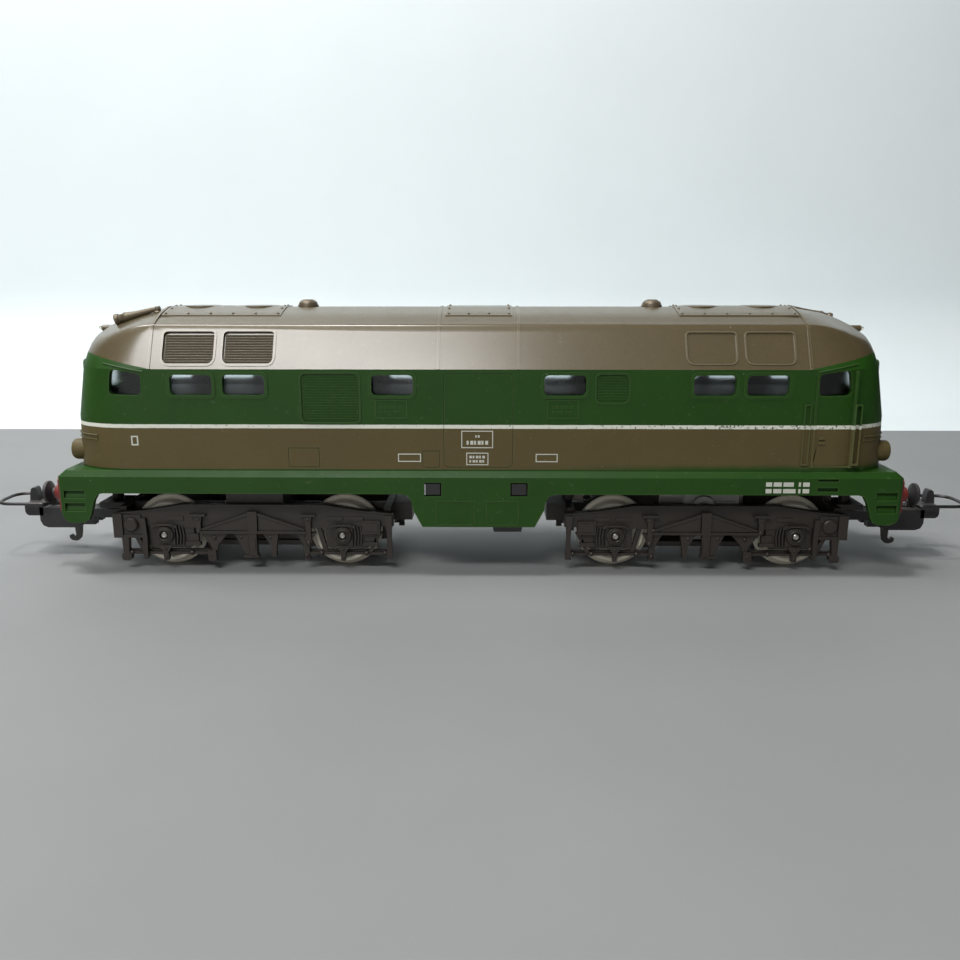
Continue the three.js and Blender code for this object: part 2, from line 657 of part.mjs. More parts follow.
function motorHousing() {
  const can = rod('y', [-7.4, GEAR_PLATE_Y[0] - 0.1], motorAxis, MOTOR_R, 24);
  const room = rod('y', [-6.4, 3], motorAxis, MOTOR_R - 1.2, 24);
  const bearing = rod('y', [-9, 0], motorAxis, 0.95, 12);
  return cut(can, [room, bearing]);
}

function brushCover() {
  const plate = block([BOGIE_X - 3.6, BOGIE_X + 6.9], [-9.6, -7.6], [9.0, 15.3]);
  const dome = rod('y', [-10.2, -9.0], [BOGIE_X, MOTOR_Z - 0.8], 2.4, 16);
  return cut(joined([plate, dome]), [rod('y', [-9, -7], motorAxis, 1.0, 12)]);
}

// a shaft with a three-pole core
function armature() {
  const core = rod('y', [-5.9, -0.4], motorAxis, 6.6, 24);
  const slots = [0, 1, 2].map((i) => {
    const angle = Math.PI / 2 + i * 2 * Math.PI / 3;
    const [x, z] = [motorAxis[0] + 5.6 * Math.cos(angle), motorAxis[1] + 5.6 * Math.sin(angle)];
    return rod('y', [-7, 1], [x, z], 1.9, 8);
  });
  const shaft = rod('y', [-8.4, 5.9], motorAxis, 0.75, 12);
  return joined([cut(core, slots), shaft]);
}

// ---------- couplers ----------
function couplerHead(end) {
  const along = (range) => range.map((x) => end * x);
  const outline = (points) => points.map(([x, z]) => [end * x, z]);
  const arm = block(along([70.9, 82.0]), [-2.2, 2.2], [7.7, 9.5]);
  const bearing = block(along([78.2, 81.5]), [-2.4, 2.4], [6.3, 8.5]);
  const box = acrossPlate(outline([
    [80.8, 10.0], [80.8, 5.8], [87.8, 5.8], [88.7, 6.2], [89.1, 7.2], [89.1, 10.0],
  ]), [-3.0, 3.0]);
  const head = block(along([88.3, HOOK_FACE_X]), [-3.0, 3.0], [8.3, 10.9]);
  const post = acrossPlate(outline([[90.0, 10.5], [91.9, 10.5], [91.5, 13.6], [90.4, 13.6]]), [-0.9, 0.9]);
  const leverSlot = block(along([78.9, 88.3]), [-0.75, 0.75], [3, 12]);
  const pinHole = rod('z', [5, 11], [end * COUPLER_PIN_X, 0], 1.1, 12);
  const loopPinHole = rod('y', [-2.1, 2.1], [end * LOOP_PIVOT_X, LOOP_PIVOT_Z], 0.62, 12);
  return cut(joined([arm, bearing, box, head, post]), [leverSlot, pinHole, loopPinHole]);
}

// the wire loop with its lever and the trip hook below
function couplerLoop(end) {
  const outline = (points) => points.map(([x, z]) => [end * x, z]);
  const wire = wireRing(end);
  const lever = acrossPlate(outline([
    [79.4, 7.9], [79.4, 6.7], [81.9, 6.4], [82.3, 3.9], [82.6, 2.7], [83.4, 2.2], [84.4, 2.4], [84.8, 3.3],
    [84.2, 3.5], [83.8, 3.1], [83.5, 3.6], [83.7, 6.6], [87.6, 7.9], [87.8, 11.6], [86.6, 11.6], [86.2, 8.8],
  ]), [-0.45, 0.45]);
  const pin = rod('y', [-1.9, 1.9], [end * LOOP_PIVOT_X, LOOP_PIVOT_Z], 0.5, 12);
  return joined([wire, lever, pin]);
}

// one wire bent round from the lever and back to it
function wireRing(end) {
  const backX = 87.2;
  const w = LOOP_HALF_WIDTH;
  const frontCorner = 3.4;
  const path = new THREE.CurvePath();
  const at = (x, y) => new THREE.Vector3(end * x, y, LOOP_Z);
  const straight = (a, b) => path.add(new THREE.LineCurve3(a, b));
  const bend = (a, b, c) => path.add(new THREE.QuadraticBezierCurve3(a, b, c));
  straight(at(backX, 0.2), at(backX, w - 1));
  bend(at(backX, w - 1), at(backX, w), at(backX + 1, w));
  straight(at(backX + 1, w), at(LOOP_TIP_X - frontCorner, w));
  bend(at(LOOP_TIP_X - frontCorner, w), at(LOOP_TIP_X, w), at(LOOP_TIP_X, w - frontCorner));
  straight(at(LOOP_TIP_X, w - frontCorner), at(LOOP_TIP_X, frontCorner - w));
  bend(at(LOOP_TIP_X, frontCorner - w), at(LOOP_TIP_X, -w), at(LOOP_TIP_X - frontCorner, -w));
  straight(at(LOOP_TIP_X - frontCorner, -w), at(backX + 1, -w));
  bend(at(backX + 1, -w), at(backX, -w), at(backX, 1 - w));
  straight(at(backX, 1 - w), at(backX, -0.2));
  const section = new THREE.Shape();
  section.absarc(0, 0, WIRE_R, 0, 2 * Math.PI);
  return solidOf(new THREE.ExtrudeGeometry(section, {
    steps: 26, curveSegments: 3, bevelEnabled: false, extrudePath: path,
  }));
}

// ---------- the model ----------
const model = new THREE.Group();

function addPart(name, solid, colourName) {
  const [color, roughness, metalness] = colours[colourName];
  const material = new THREE.MeshStandardMaterial({ color, roughness, metalness });
  const mesh = new THREE.Mesh(geometryOf(solid), material);
  mesh.name = name;
  model.add(mesh);
}

addPart('body_shell', bodyShell(), 'green');
addPart('chassis_frame', chassisFrame(), 'black');
addPart('ballast_weight', ballastWeight(), 'ballast');
SIDES.forEach(([sideName, side]) => addPart(`glazing_${sideName}`, sideGlazing(side), 'smoke'));

ENDS.forEach(([endName, end]) => {
  addPart(`windscreen_${endName}`, windscreen(end), 'smoke');
  addPart(`marker_lens_${endName}`, domedLens(end, 74.1, 0, MARKER_Z, 0.82), 'lens');
  addPart(`roof_cap_${endName}`, roofCap(end), 'bronze');
  addPart(`horn_${endName}`, horn(end), 'bronze');
  addPart(`buffer_beam_${endName}`, bufferBeam(end), 'red');
  addPart(`coupler_head_${endName}`, couplerHead(end), 'black');
  addPart(`coupler_loop_${endName}`, couplerLoop(end), 'black');
  SIDES.forEach(([sideName, side]) => {
    const lens = domedLens(end, 77.4, side * HEADLIGHT_Y, HEADLIGHT_Z, 1.5);
    addPart(`headlight_lens_${endName}_${sideName}`, lens, 'lens');
    addPart(`buffer_${endName}_${sideName}`, buffer(end, side), 'black');
    addPart(`side_frame_${endName}_${sideName}`, sideFrame(end, side), 'brownBlack');
  });
});

addPart('front_bogie_frame', frontBogieFrame(), 'brownBlack');
addPart('front_pivot_screw', pivotScrew(), 'steel');
addPart('front_keeper_plate', keeperPlate(FRONT, [-6.6, 6.6]), 'brownBlack');
SIDES.forEach(([sideName, side]) => addPart(`pickup_strip_${sideName}`, pickup(side), 'copper'));

addPart('rear_bogie_frame', rearBogieFrame(), 'brownBlack');
addPart('rear_retaining_ring', retainingRing(), 'black');
addPart('rear_keeper_plate', keeperPlate(REAR, [-6.6, 0.6]), 'brownBlack');
addPart('gear_cover', gearCover(), 'brownBlack');
addPart('motor_housing', motorHousing(), 'steel');
addPart('brush_cover', brushCover(), 'paleGrey');
addPart('motor_armature', armature(), 'steel');
addPart('motor_pinion', gear(PINION_TEETH, phasePinion, ...motorAxis, 0.85), 'brass');
addPart('idler_gear_3', idlerGear(idler3, phaseIdler3), 'nylon');
addPart('idler_gear_4', idlerGear(idler4, phaseIdler4), 'nylon');
addPart('drive_gear_3', gear(DRIVE_TEETH, phaseAxle3, ...axle3, AXLE_R + 0.06), 'nylon');
addPart('drive_gear_4', gear(DRIVE_TEETH, phaseAxle4, ...axle4, AXLE_R + 0.06), 'nylon');

AXLES.forEach(([number, end, u]) => {
  const x = bogieX(end, u);
  addPart(`axle_${number}`, axle(x), 'steel');
  SIDES.forEach(([sideName, side]) => addPart(`wheel_${number}_${sideName}`, wheel(x, side), 'steel'));
});

export default model;
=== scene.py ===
import json
import math

import bmesh
import bpy
from mathutils import Matrix, Vector


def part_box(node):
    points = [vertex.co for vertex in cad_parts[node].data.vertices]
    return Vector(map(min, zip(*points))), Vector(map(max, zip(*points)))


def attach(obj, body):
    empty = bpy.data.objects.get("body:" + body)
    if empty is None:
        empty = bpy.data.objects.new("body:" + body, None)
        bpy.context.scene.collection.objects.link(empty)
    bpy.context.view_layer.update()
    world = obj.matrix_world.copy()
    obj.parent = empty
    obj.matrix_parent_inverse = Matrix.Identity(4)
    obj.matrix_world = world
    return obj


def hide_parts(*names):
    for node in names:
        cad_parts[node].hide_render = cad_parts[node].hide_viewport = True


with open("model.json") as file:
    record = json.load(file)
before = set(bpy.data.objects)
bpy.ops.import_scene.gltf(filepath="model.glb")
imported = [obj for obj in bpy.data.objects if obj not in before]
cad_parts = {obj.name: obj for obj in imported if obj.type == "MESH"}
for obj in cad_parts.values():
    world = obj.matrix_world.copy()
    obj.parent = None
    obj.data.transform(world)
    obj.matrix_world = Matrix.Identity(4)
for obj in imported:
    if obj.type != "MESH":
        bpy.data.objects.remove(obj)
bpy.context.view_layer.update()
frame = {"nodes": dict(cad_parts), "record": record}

# A model diesel locomotive. Every size below is in millimetres; MM turns it into metres.
# X runs along the model, front end at -X; the near side is at -Y; Z is up.
MM = 0.001
ENDS = {"front": -1, "rear": 1}
SIDES = {"near": -1, "far": 1}


def low(node):
    """The lowest corner of a CAD node, in millimetres."""
    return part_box(node)[0] / MM


def high(node):
    """The highest corner of a CAD node, in millimetres."""
    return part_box(node)[1] / MM


def middle(node):
    """The middle of a CAD node, in millimetres."""
    return (low(node) + high(node)) / 2


# ---------- sizes taken from the frame ----------
AXLE_Z = middle("axle_3").z
BOGIE_X = (middle("axle_3").x + middle("axle_4").x) / 2
HALF_WHEELBASE = (middle("axle_4").x - middle("axle_3").x) / 2
AXLES = {"1": -BOGIE_X - HALF_WHEELBASE, "2": -BOGIE_X + HALF_WHEELBASE,
         "3": BOGIE_X - HALF_WHEELBASE, "4": BOGIE_X + HALF_WHEELBASE}
BEAM_X = high("body_shell").x
SILL_Y = high("body_shell").y - 0.07  # the sill's face, behind the low mouldings that stand on it
ROOF_Z = high("body_shell").z
SKIRT_Z = low("body_shell").z
BUFFER_Y = middle("buffer_rear_far").y
BUFFER_Z = middle("buffer_rear_far").z
BUFFER_FACE_X = high("buffer_rear_far").x
HEADLIGHT_Y = middle("headlight_lens_rear_far").y
HEADLIGHT_Z = middle("headlight_lens_rear_far").z
MARKER_Z = middle("marker_lens_rear").z
CAP_X = middle("roof_cap_rear").x
HORN_Y = middle("horn_rear").y

# ---------- shell sizes ----------
WALL = 1.2
BODY_Y = 15.2
SILL_BOTTOM_Z = 16.1
SILL_EDGE_Z = 19.25
PLATFORM_Z = 20.4
WAIST_Z = 39.15
SHOULDER_Z = 46.8
SHOULDER_Y = 11.4
BLOCK_BOTTOM_Z = 10.4
CORNER_X = 12.0  # the cab's plan is rounded by quarter ellipses of these half axes
CORNER_Y = 8.0
SEAM_X = 59.6
MIDDLE_SEAM_X = 7.3
HATCH_Y = 8.0
LINE_Z = (28.35, 29.05)  # white line
CAB_START_X = SEAM_X + 0.5
DROOP_START_Z = 41.5  # from this height up, a cab's corners droop
CORNER_DROP = 3.6  # how far the shoulder would drop at a square corner of a cab
CAB_RISE = 0.2  # slope of the roof colour's lower edge along the cab

# height, half length and half width of the body above the platform
LEVELS = [
    (PLATFORM_Z, 76.6, BODY_Y),
    (30.0, 76.3, BODY_Y),
    (WAIST_Z, 74.75, BODY_Y),
    (41.5, 74.3, 14.03),
    (44.0, 73.9, 12.79),
    (45.6, 73.25, 12.0),
    (SHOULDER_Z - 0.15, 72.1, SHOULDER_Y + 0.08),
    (SHOULDER_Z + 0.12, 71.6, SHOULDER_Y - 0.2),
    (47.4, 70.4, 10.1),
    (48.6, 66.4, 7.3),
    (49.3, 62.6, 4.5),
    (ROOF_Z, SEAM_X, 2.2),
]
STRAIGHT_LEVELS = 7  # from this one on, the levels are joined by a smooth curve


def smooth_between(before, start, end, after, t):
    """A Catmull-Rom curve from start to end."""
    values = []
    for a, b, c, d in zip(before, start, end, after):
        values.append(0.5 * (2 * b + (c - a) * t + (2 * a - 5 * b + 4 * c - d) * t * t
                             + (3 * b - a - 3 * c + d) * t ** 3))
    return tuple(values)


def fine_levels(steps=4):
    """The body levels, with the roof's curve filled in."""
    levels = LEVELS[:STRAIGHT_LEVELS]
    for i in range(STRAIGHT_LEVELS, len(LEVELS) - 1):
        after = LEVELS[min(i + 2, len(LEVELS) - 1)]
        for step in range(steps):
            levels.append(smooth_between(LEVELS[i - 1], LEVELS[i], LEVELS[i + 1], after, step / steps))
    return levels + [LEVELS[-1]]


BODY_LEVELS = fine_levels()


def at_height(z):
    """Half length and half width of the body at a height."""
    z = min(max(z, PLATFORM_Z), ROOF_Z)
    for (z0, x0, y0), (z1, x1, y1) in zip(BODY_LEVELS, BODY_LEVELS[1:]):
        if z <= z1:
            t = (z - z0) / (z1 - z0)
            return x0 + (x1 - x0) * t, y0 + (y1 - y0) * t
    return BODY_LEVELS[-1][1:]


def roof_z(y):
    """Height of the roof between the seams, at a distance from the middle line."""
    y = abs(y)
    for (z0, _, y0), (z1, _, y1) in zip(BODY_LEVELS, BODY_LEVELS[1:]):
        if z0 >= WAIST_Z and y1 <= y <= y0:
            return z0 + (z1 - z0) * (y0 - y) / (y0 - y1)
    return ROOF_Z


def skin_y(x, z, inset=0.0):
    """Half width of the body's skin at a place along it."""
    half_length, half_width = at_height(z)
    past = abs(x) - (half_length - CORNER_X)
    if past <= 0:
        return half_width - inset
    bend = math.sqrt(max(0.0, 1 - (past / (CORNER_X - inset)) ** 2))
    return half_width - CORNER_Y + (CORNER_Y - inset) * bend


def droop(x, y, z, half_length, half_width):
    """How far the roof's levels are pulled down towards the corners of a cab."""
    cab_length = half_length - CAB_START_X
    past = abs(x) - CAB_START_X
    if cab_length <= 0 or past <= 0:
        return 0.0
    rise = min(1.0, max(0.0, (z - DROOP_START_Z) / (SHOULDER_Z - DROOP_START_Z)))
    fall = min(1.0, max(0.0, (ROOF_Z - z) / (ROOF_Z - SHOULDER_Z)))
    return CORNER_DROP * rise * fall * (past / cab_length) ** 2 * abs(y) / half_width


def plan_ring(half_length, half_width, corner_x, corner_y, z, steps):
    """A level outline: a rectangle with its corners rounded by quarter ellipses."""
    corner_y = min(corner_y, half_width)
    ring = []
    for quarter, (sx, sy) in enumerate(((1, 1), (-1, 1), (-1, -1), (1, -1))):
        for step in range(steps + 1):
            angle = (quarter + step / steps) * math.pi / 2
            x = sx * (half_length - corner_x) + corner_x * math.cos(angle)
            y = sy * (half_width - corner_y) + corner_y * math.sin(angle)
            ring.append((x, y, z - droop(x, y, z, half_length, half_width)))
    return ring


# ---------- placing ----------
def straight(x, y, z):
    return (x, y, z)


def mirrored(end, side=1):
    """A piece drawn for the rear end and the far side, placed at another end or side."""
    return lambda x, y, z: (end * x, side * y, z)


def on_wall(side):
    """x along the model, out from the side wall, and height."""
    return lambda x, out, z: (x, side * (BODY_Y + out), z)


LEAN = math.atan2(BODY_Y - SHOULDER_Y, SHOULDER_Z - WAIST_Z)


def on_lean(side):
    """x along the model, out from the leaning upper wall, and height on it."""
    def place(x, out, z):
        y = BODY_Y - (z - WAIST_Z) * math.tan(LEAN) + out * math.cos(LEAN)
        return (x, side * y, z + out * math.sin(LEAN))
    return place


def on_bogie(end, side):
    """u from the bogie's centre towards the middle of the model, out, and height."""
    return lambda u, out, z: (end * (BOGIE_X - u), side * out, z)


# ---------- shapes ----------
TURNS = {
    "x": lambda a, b, depth: (depth, a, b),
    "y": lambda a, b, depth: (a, depth, b),
    "z": lambda a, b, depth: (a, b, depth),
}


def box_outline(a, b):
    return [(a[0], b[0]), (a[1], b[0]), (a[1], b[1]), (a[0], b[1])]


def rounded(corners, radius, steps=4):
    """An outline with each corner rounded, all by one radius or each by its own."""
    radii = radius if isinstance(radius, tuple) else (radius,) * len(corners)
    outline = []
    for i, corner in enumerate(corners):
        here = Vector(corner)
        before = (Vector(corners[i - 1]) - here).normalized()
        after = (Vector(corners[(i + 1) % len(corners)]) - here).normalized()
        half = before.angle(after) / 2
        reach = radii[i] / math.tan(half)
        start = here + before * reach
        end = here + after * reach
        for step in range(steps + 1):
            t = step / steps
            outline.append(tuple(start * (1 - t) ** 2 + here * 2 * t * (1 - t) + end * t * t))
    return outline


def grown(corners, by):
    """An outline's corners moved away from its middle, by the same distance along both directions."""
    mid_a = sum(a for a, _ in corners) / len(corners)
    mid_b = sum(b for _, b in corners) / len(corners)
    return [(a + math.copysign(by, a - mid_a), b + math.copysign(by, b - mid_b)) for a, b in corners]


class Shape:
    """Closed solids gathered into one mesh, in millimetres."""

    def __init__(self, place=straight):
        self.bm = bmesh.new()
        self.place = place

    def points(self, coordinates):
        return [self.bm.verts.new(self.place(*c)) for c in coordinates]

    def skin(self, rings, closed=False, material=0):
        """Faces between rings of vertices, which close on themselves or are capped."""
        pairs = list(zip(rings, rings[1:]))
        if closed:
            pairs.append((rings[-1], rings[0]))
        faces = []
        for one, other in pairs:
            count = len(one)
            for i in range(count):
                j = (i + 1) % count
                faces.append(self.bm.faces.new((one[i], one[j], other[j], other[i])))
        if not closed:
            faces.append(self.bm.faces.new(rings[0]))
            faces.append(self.bm.faces.new(rings[-1]))
        for face in faces:
            face.material_index = material

    def prism(self, axis, outline, depth):
        """An outline carried between two depths along an axis."""
        turn = TURNS[axis]
        self.skin([self.points([turn(a, b, d) for a, b in outline]) for d in depth])

    def box(self, x, y, z):
        self.prism("z", box_outline(x, y), z)

    def frame(self, axis, one, other, depth):
        """The space between two outlines with the same number of points."""
        turn = TURNS[axis]
        rings = []
        for outline, d in ((one, depth[0]), (one, depth[1]), (other, depth[1]), (other, depth[0])):
            rings.append(self.points([turn(a, b, d) for a, b in outline]))
        self.skin(rings, closed=True)

    def turned(self, axis, centre, profile, steps=24):
        """A turned solid: radius and depth pairs, from the axis to the axis or closed on themselves."""
        turn = TURNS[axis]
        closed = profile[0][0] > 0
        rings = []
        for radius, depth in profile:
            if radius > 0:
                angles = [2 * math.pi * i / steps for i in range(steps)]
                ring = [(centre[0] + radius * math.cos(t), centre[1] + radius * math.sin(t))
                        for t in angles]
                rings.append(self.points([turn(a, b, depth) for a, b in ring]))
        if closed:
            self.skin(rings, closed=True)
            return
        self.skin(rings)
        caps = [face for face in self.bm.faces if len(face.verts) == steps and steps > 4][-2:]
        for face, depth in zip(caps, (profile[0][1], profile[-1][1])):
            tip = self.points([turn(centre[0], centre[1], depth)])[0]
            edges = [tuple(edge.verts) for edge in face.edges]
            self.bm.faces.remove(face)
            for one, other in edges:
                self.bm.faces.new((one, other, tip))

    def dome(self, axis, centre, base, radius, height, steps=10):
        """A rounded rivet or bolt head that stands on a surface."""
        sunk = base - math.copysign(0.15, height)
        profile = [(0, sunk), (radius, sunk), (radius, base)]
        for i in range(1, 3):
            angle = i * math.pi / 6
            profile.append((radius * math.cos(angle), base + height * math.sin(angle)))
        profile.append((0, base + height))
        self.turned(axis, centre, profile, steps)

    def tube(self, path, radius, sides, closed=False):
        """A round bar along points."""
        points = [Vector(p) for p in path]
        count = len(points)
        rings = []
        normal = None
        for i, point in enumerate(points):
            before = points[i - 1] if i or closed else point
            after = points[(i + 1) % count] if i + 1 < count or closed else point
            ahead = (after - before).normalized()
            if normal is None:
                normal = ahead.orthogonal().normalized()
            normal = (normal - ahead * normal.dot(ahead)).normalized()
            side = ahead.cross(normal)
            ring = []
            for step in range(sides):
                angle = 2 * math.pi * step / sides
                ring.append(point + normal * radius * math.cos(angle) + side * radius * math.sin(angle))
            rings.append(self.points(ring))
        self.skin(rings, closed=closed)

    def mesh(self, name):
        bmesh.ops.recalc_face_normals(self.bm, faces=self.bm.faces)
        mesh = bpy.data.meshes.new(name)
        self.bm.to_mesh(mesh)
        self.bm.free()
        return mesh


def solid(name, shape):
    made = bpy.data.objects.new(name, shape.mesh(name))
    bpy.context.scene.collection.objects.link(made)
    return made


def combine(target, operation, shape):
    """Cuts a shape out of an object, or joins it on."""
    tool = solid("tool", shape)
    modifier = target.modifiers.new("boolean", "BOOLEAN")
    modifier.solver = "MANIFOLD"
    modifier.operation = operation
    modifier.object = tool
    bpy.context.view_layer.update()
    evaluated = target.evaluated_get(bpy.context.evaluated_depsgraph_get())
    result = bpy.data.meshes.new_from_object(evaluated)
    target.modifiers.clear()
    target.data = result
    bpy.data.objects.remove(tool)


def finished(made, body, nodes, slot, materials, bevel=0.0, sharp=32, segments=2):
    """Scales a piece to metres, shades it, gives it its materials and any bevel, hangs it on its body and
    hides the CAD nodes it replaces; the slot is not used.
    """
    mesh = made.data
    mesh.transform(Matrix.Scale(MM, 4))
    mesh.shade_smooth()
    mesh.set_sharp_from_angle(angle=math.radians(sharp))
    for i, material in enumerate(materials):
        if i < len(mesh.materials):
            mesh.materials[i] = material
        else:
            mesh.materials.append(material)
    if bevel:
        modifier = made.modifiers.new("bevel", "BEVEL")
        modifier.width = bevel * MM
        modifier.segments = segments
        modifier.limit_method = "ANGLE"
        modifier.angle_limit = math.radians(sharp)
        modifier.use_clamp_overlap = True
        modifier.harden_normals = True
    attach(made, body)
    if nodes:
        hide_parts(*nodes)
    return made


def piece(name, shape, body, node, slot, **finish):
    """A piece of one material that takes the place of one CAD node."""
    finished(solid(name, shape), body, [node], slot, [MATERIALS[slot]], **finish)


# ---------- material building ----------
class Nodes:
    """A node material that works in millimetres of the piece's own space."""

    def __init__(self, name):
        self.material = bpy.data.materials.new(name)
        self.material.use_nodes = True
        self.tree = self.material.node_tree
        self.shader = self.tree.nodes["Principled BSDF"]
        space = self.add("ShaderNodeTexCoord").outputs["Object"]
        scaled = self.add("ShaderNodeVectorMath", [space, (1000, 1000, 1000)], operation="MULTIPLY")
        self.mm = scaled.outputs[0]

    def add(self, kind, inputs=(), **settings):
        made = self.tree.nodes.new(kind)
        for key, value in settings.items():
            setattr(made, key, value)
        pairs = inputs.items() if isinstance(inputs, dict) else enumerate(inputs)
        for key, value in pairs:
            if isinstance(value, bpy.types.NodeSocket):
                self.tree.links.new(value, made.inputs[key])
            else:
                made.inputs[key].default_value = value
        return made

    def math(self, operation, *values, clamp=False):
        return self.add("ShaderNodeMath", values, operation=operation, use_clamp=clamp).outputs[0]

    def times(self, one, other, clamp=False):
        return self.math("MULTIPLY", one, other, clamp=clamp)

    def rest(self, value):
        """What is left of 1 after a value is taken away."""
        return self.math("SUBTRACT", 1.0, value)

    def above(self, value, edge, soft):
        """0 below an edge, 1 above it, with a soft step between."""
        inputs = {"Value": value, "From Min": edge - soft, "From Max": edge + soft}
        return self.add("ShaderNodeMapRange", inputs, interpolation_type="SMOOTHSTEP").outputs[0]

    def noise(self, scale, detail=3.0, rough=0.55, stretch=(1, 1, 1), distortion=0.0):
        """Noise with about one blob for each 1 / scale millimetres."""
        vector = self.mm
        if stretch != (1, 1, 1):
            vector = self.add("ShaderNodeVectorMath", [vector, stretch], operation="MULTIPLY").outputs[0]
        inputs = {"Vector": vector, "Scale": scale, "Detail": detail, "Roughness": rough,
                  "Distortion": distortion}
        return self.add("ShaderNodeTexNoise", inputs).outputs[0]

    def mix(self, factor, one, other, blend="MIX"):
        inputs = {0: factor, 6: colour(one), 7: colour(other)}
        return self.add("ShaderNodeMix", inputs, data_type="RGBA", blend_type=blend).outputs[2]

    def cavity(self, distance, inside=False):
        """1 in the open and less in corners and slots."""
        node = self.add("ShaderNodeAmbientOcclusion", {"Distance": distance * MM}, samples=4,
                        inside=inside, only_local=True)
        return node.outputs["AO"]

    def edge(self, distance):
        """1 on flat faces and less towards corners that stand out."""
        return self.cavity(distance, inside=True)

    def facing_up(self):
        normal = self.add("ShaderNodeNewGeometry").outputs["Normal"]
        return self.add("ShaderNodeSeparateXYZ", [normal]).outputs["Z"]

    def bump(self, height, strength, distance):
        inputs = {"Strength": strength, "Distance": distance * MM, "Height": height}
        normal = self.add("ShaderNodeBump", inputs).outputs[0]
        self.tree.links.new(normal, self.shader.inputs["Normal"])

    def set(self, **values):
        for key, value in values.items():
            socket = self.shader.inputs[key.replace("_", " ").title().replace("Ior", "IOR")]
            if isinstance(value, bpy.types.NodeSocket):
                self.tree.links.new(value, socket)
            else:
                socket.default_value = value


def colour(value):
    if isinstance(value, tuple) and len(value) == 3:
        return (*value, 1.0)
    return value


def moulded(name, base, rough=0.5, dust=0.12, dust_colour=(0.30, 0.27, 0.23), grain=0.35, metallic=0.0,
            shade=0.0):
    """Moulded plastic or plain metal: tone that drifts, dust in corners and on top, fine grain, and
    painted shade that blackens deep hollows when shade is set.
    """
    m = Nodes(name)
    drift = m.noise(0.12, 4)
    fine = m.noise(2.2, 5, 0.65)
    tone = m.mix(drift, tuple(c * 0.72 for c in base), tuple(min(1, c * 1.3) for c in base))
    tone = m.mix(m.times(fine, 0.35), tone, tuple(c * 0.55 for c in base))
    up = m.above(m.facing_up(), 0.55, 0.4)
    hidden = m.rest(m.cavity(1.2))
    patches = m.above(m.noise(0.5, 4, 0.7), 0.5, 0.22)
    amount = m.times(m.math("ADD", m.times(up, 0.7), hidden), patches)
    tone = m.mix(m.times(amount, dust, clamp=True), tone, dust_colour)
    # painted shade: deep hollows are darkened towards black, as strongly as shade asks
    deep = m.rest(m.cavity(3.0))
    tone = m.mix(m.times(deep, shade, clamp=True), tone, tuple(c * 0.1 for c in base))
    spread = m.math("MULTIPLY_ADD", fine, 0.22, rough - 0.1)
    roughness = m.math("ADD", spread, m.times(amount, 0.25), clamp=True)
    m.set(base_color=tone, roughness=roughness, metallic=metallic)
    m.bump(m.noise(3.0, 4, 0.7), grain, 0.05)
    return m.material


def worn_metal(name, base, rough=0.35, dirt=0.5, dirt_colour=(0.10, 0.08, 0.06), metallic=0.85):
    """Bare metal with brown dirt in its corners and fine turning marks."""
    m = Nodes(name)
    drift = m.noise(0.25, 4)
    tone = m.mix(drift, tuple(c * 0.8 for c in base), base)
    hidden = m.rest(m.cavity(1.5))
    stains = m.above(m.noise(0.6, 5, 0.7), 0.52, 0.2)
    amount = m.times(m.math("ADD", m.times(hidden, 1.4), m.times(stains, 0.35)), dirt, clamp=True)
    tone = m.mix(amount, tone, dirt_colour)
    m.set(base_color=tone, metallic=metallic, roughness=m.math("MULTIPLY_ADD", amount, 0.4, rough))
    m.bump(m.noise(5.0, 3, 0.6), 0.25, 0.03)
    return m.material


def clear(name, tint, rough, haze):
    """Clear plastic with smears and dust on it."""
    m = Nodes(name)
    smear = m.noise(0.35, 4, 0.6, stretch=(0.5, 1, 1.6))
    m.set(base_color=m.mix(smear, tint, tuple(c * 0.86 for c in tint)), transmission_weight=1.0, ior=1.46,
          roughness=m.math("MULTIPLY_ADD", smear, haze, rough))
    m.bump(m.noise(0.5, 3), 0.08, 0.05)
    return m.material


GREEN = (0.0185, 0.072, 0.0058)
GREEN_DARK = (0.0115, 0.049, 0.0036)
BROWN = (0.111, 0.084, 0.029)
WHITE = (0.74, 0.75, 0.66)
BRONZE = (0.106, 0.081, 0.038)
BRONZE_DARK = (0.062, 0.046, 0.020)


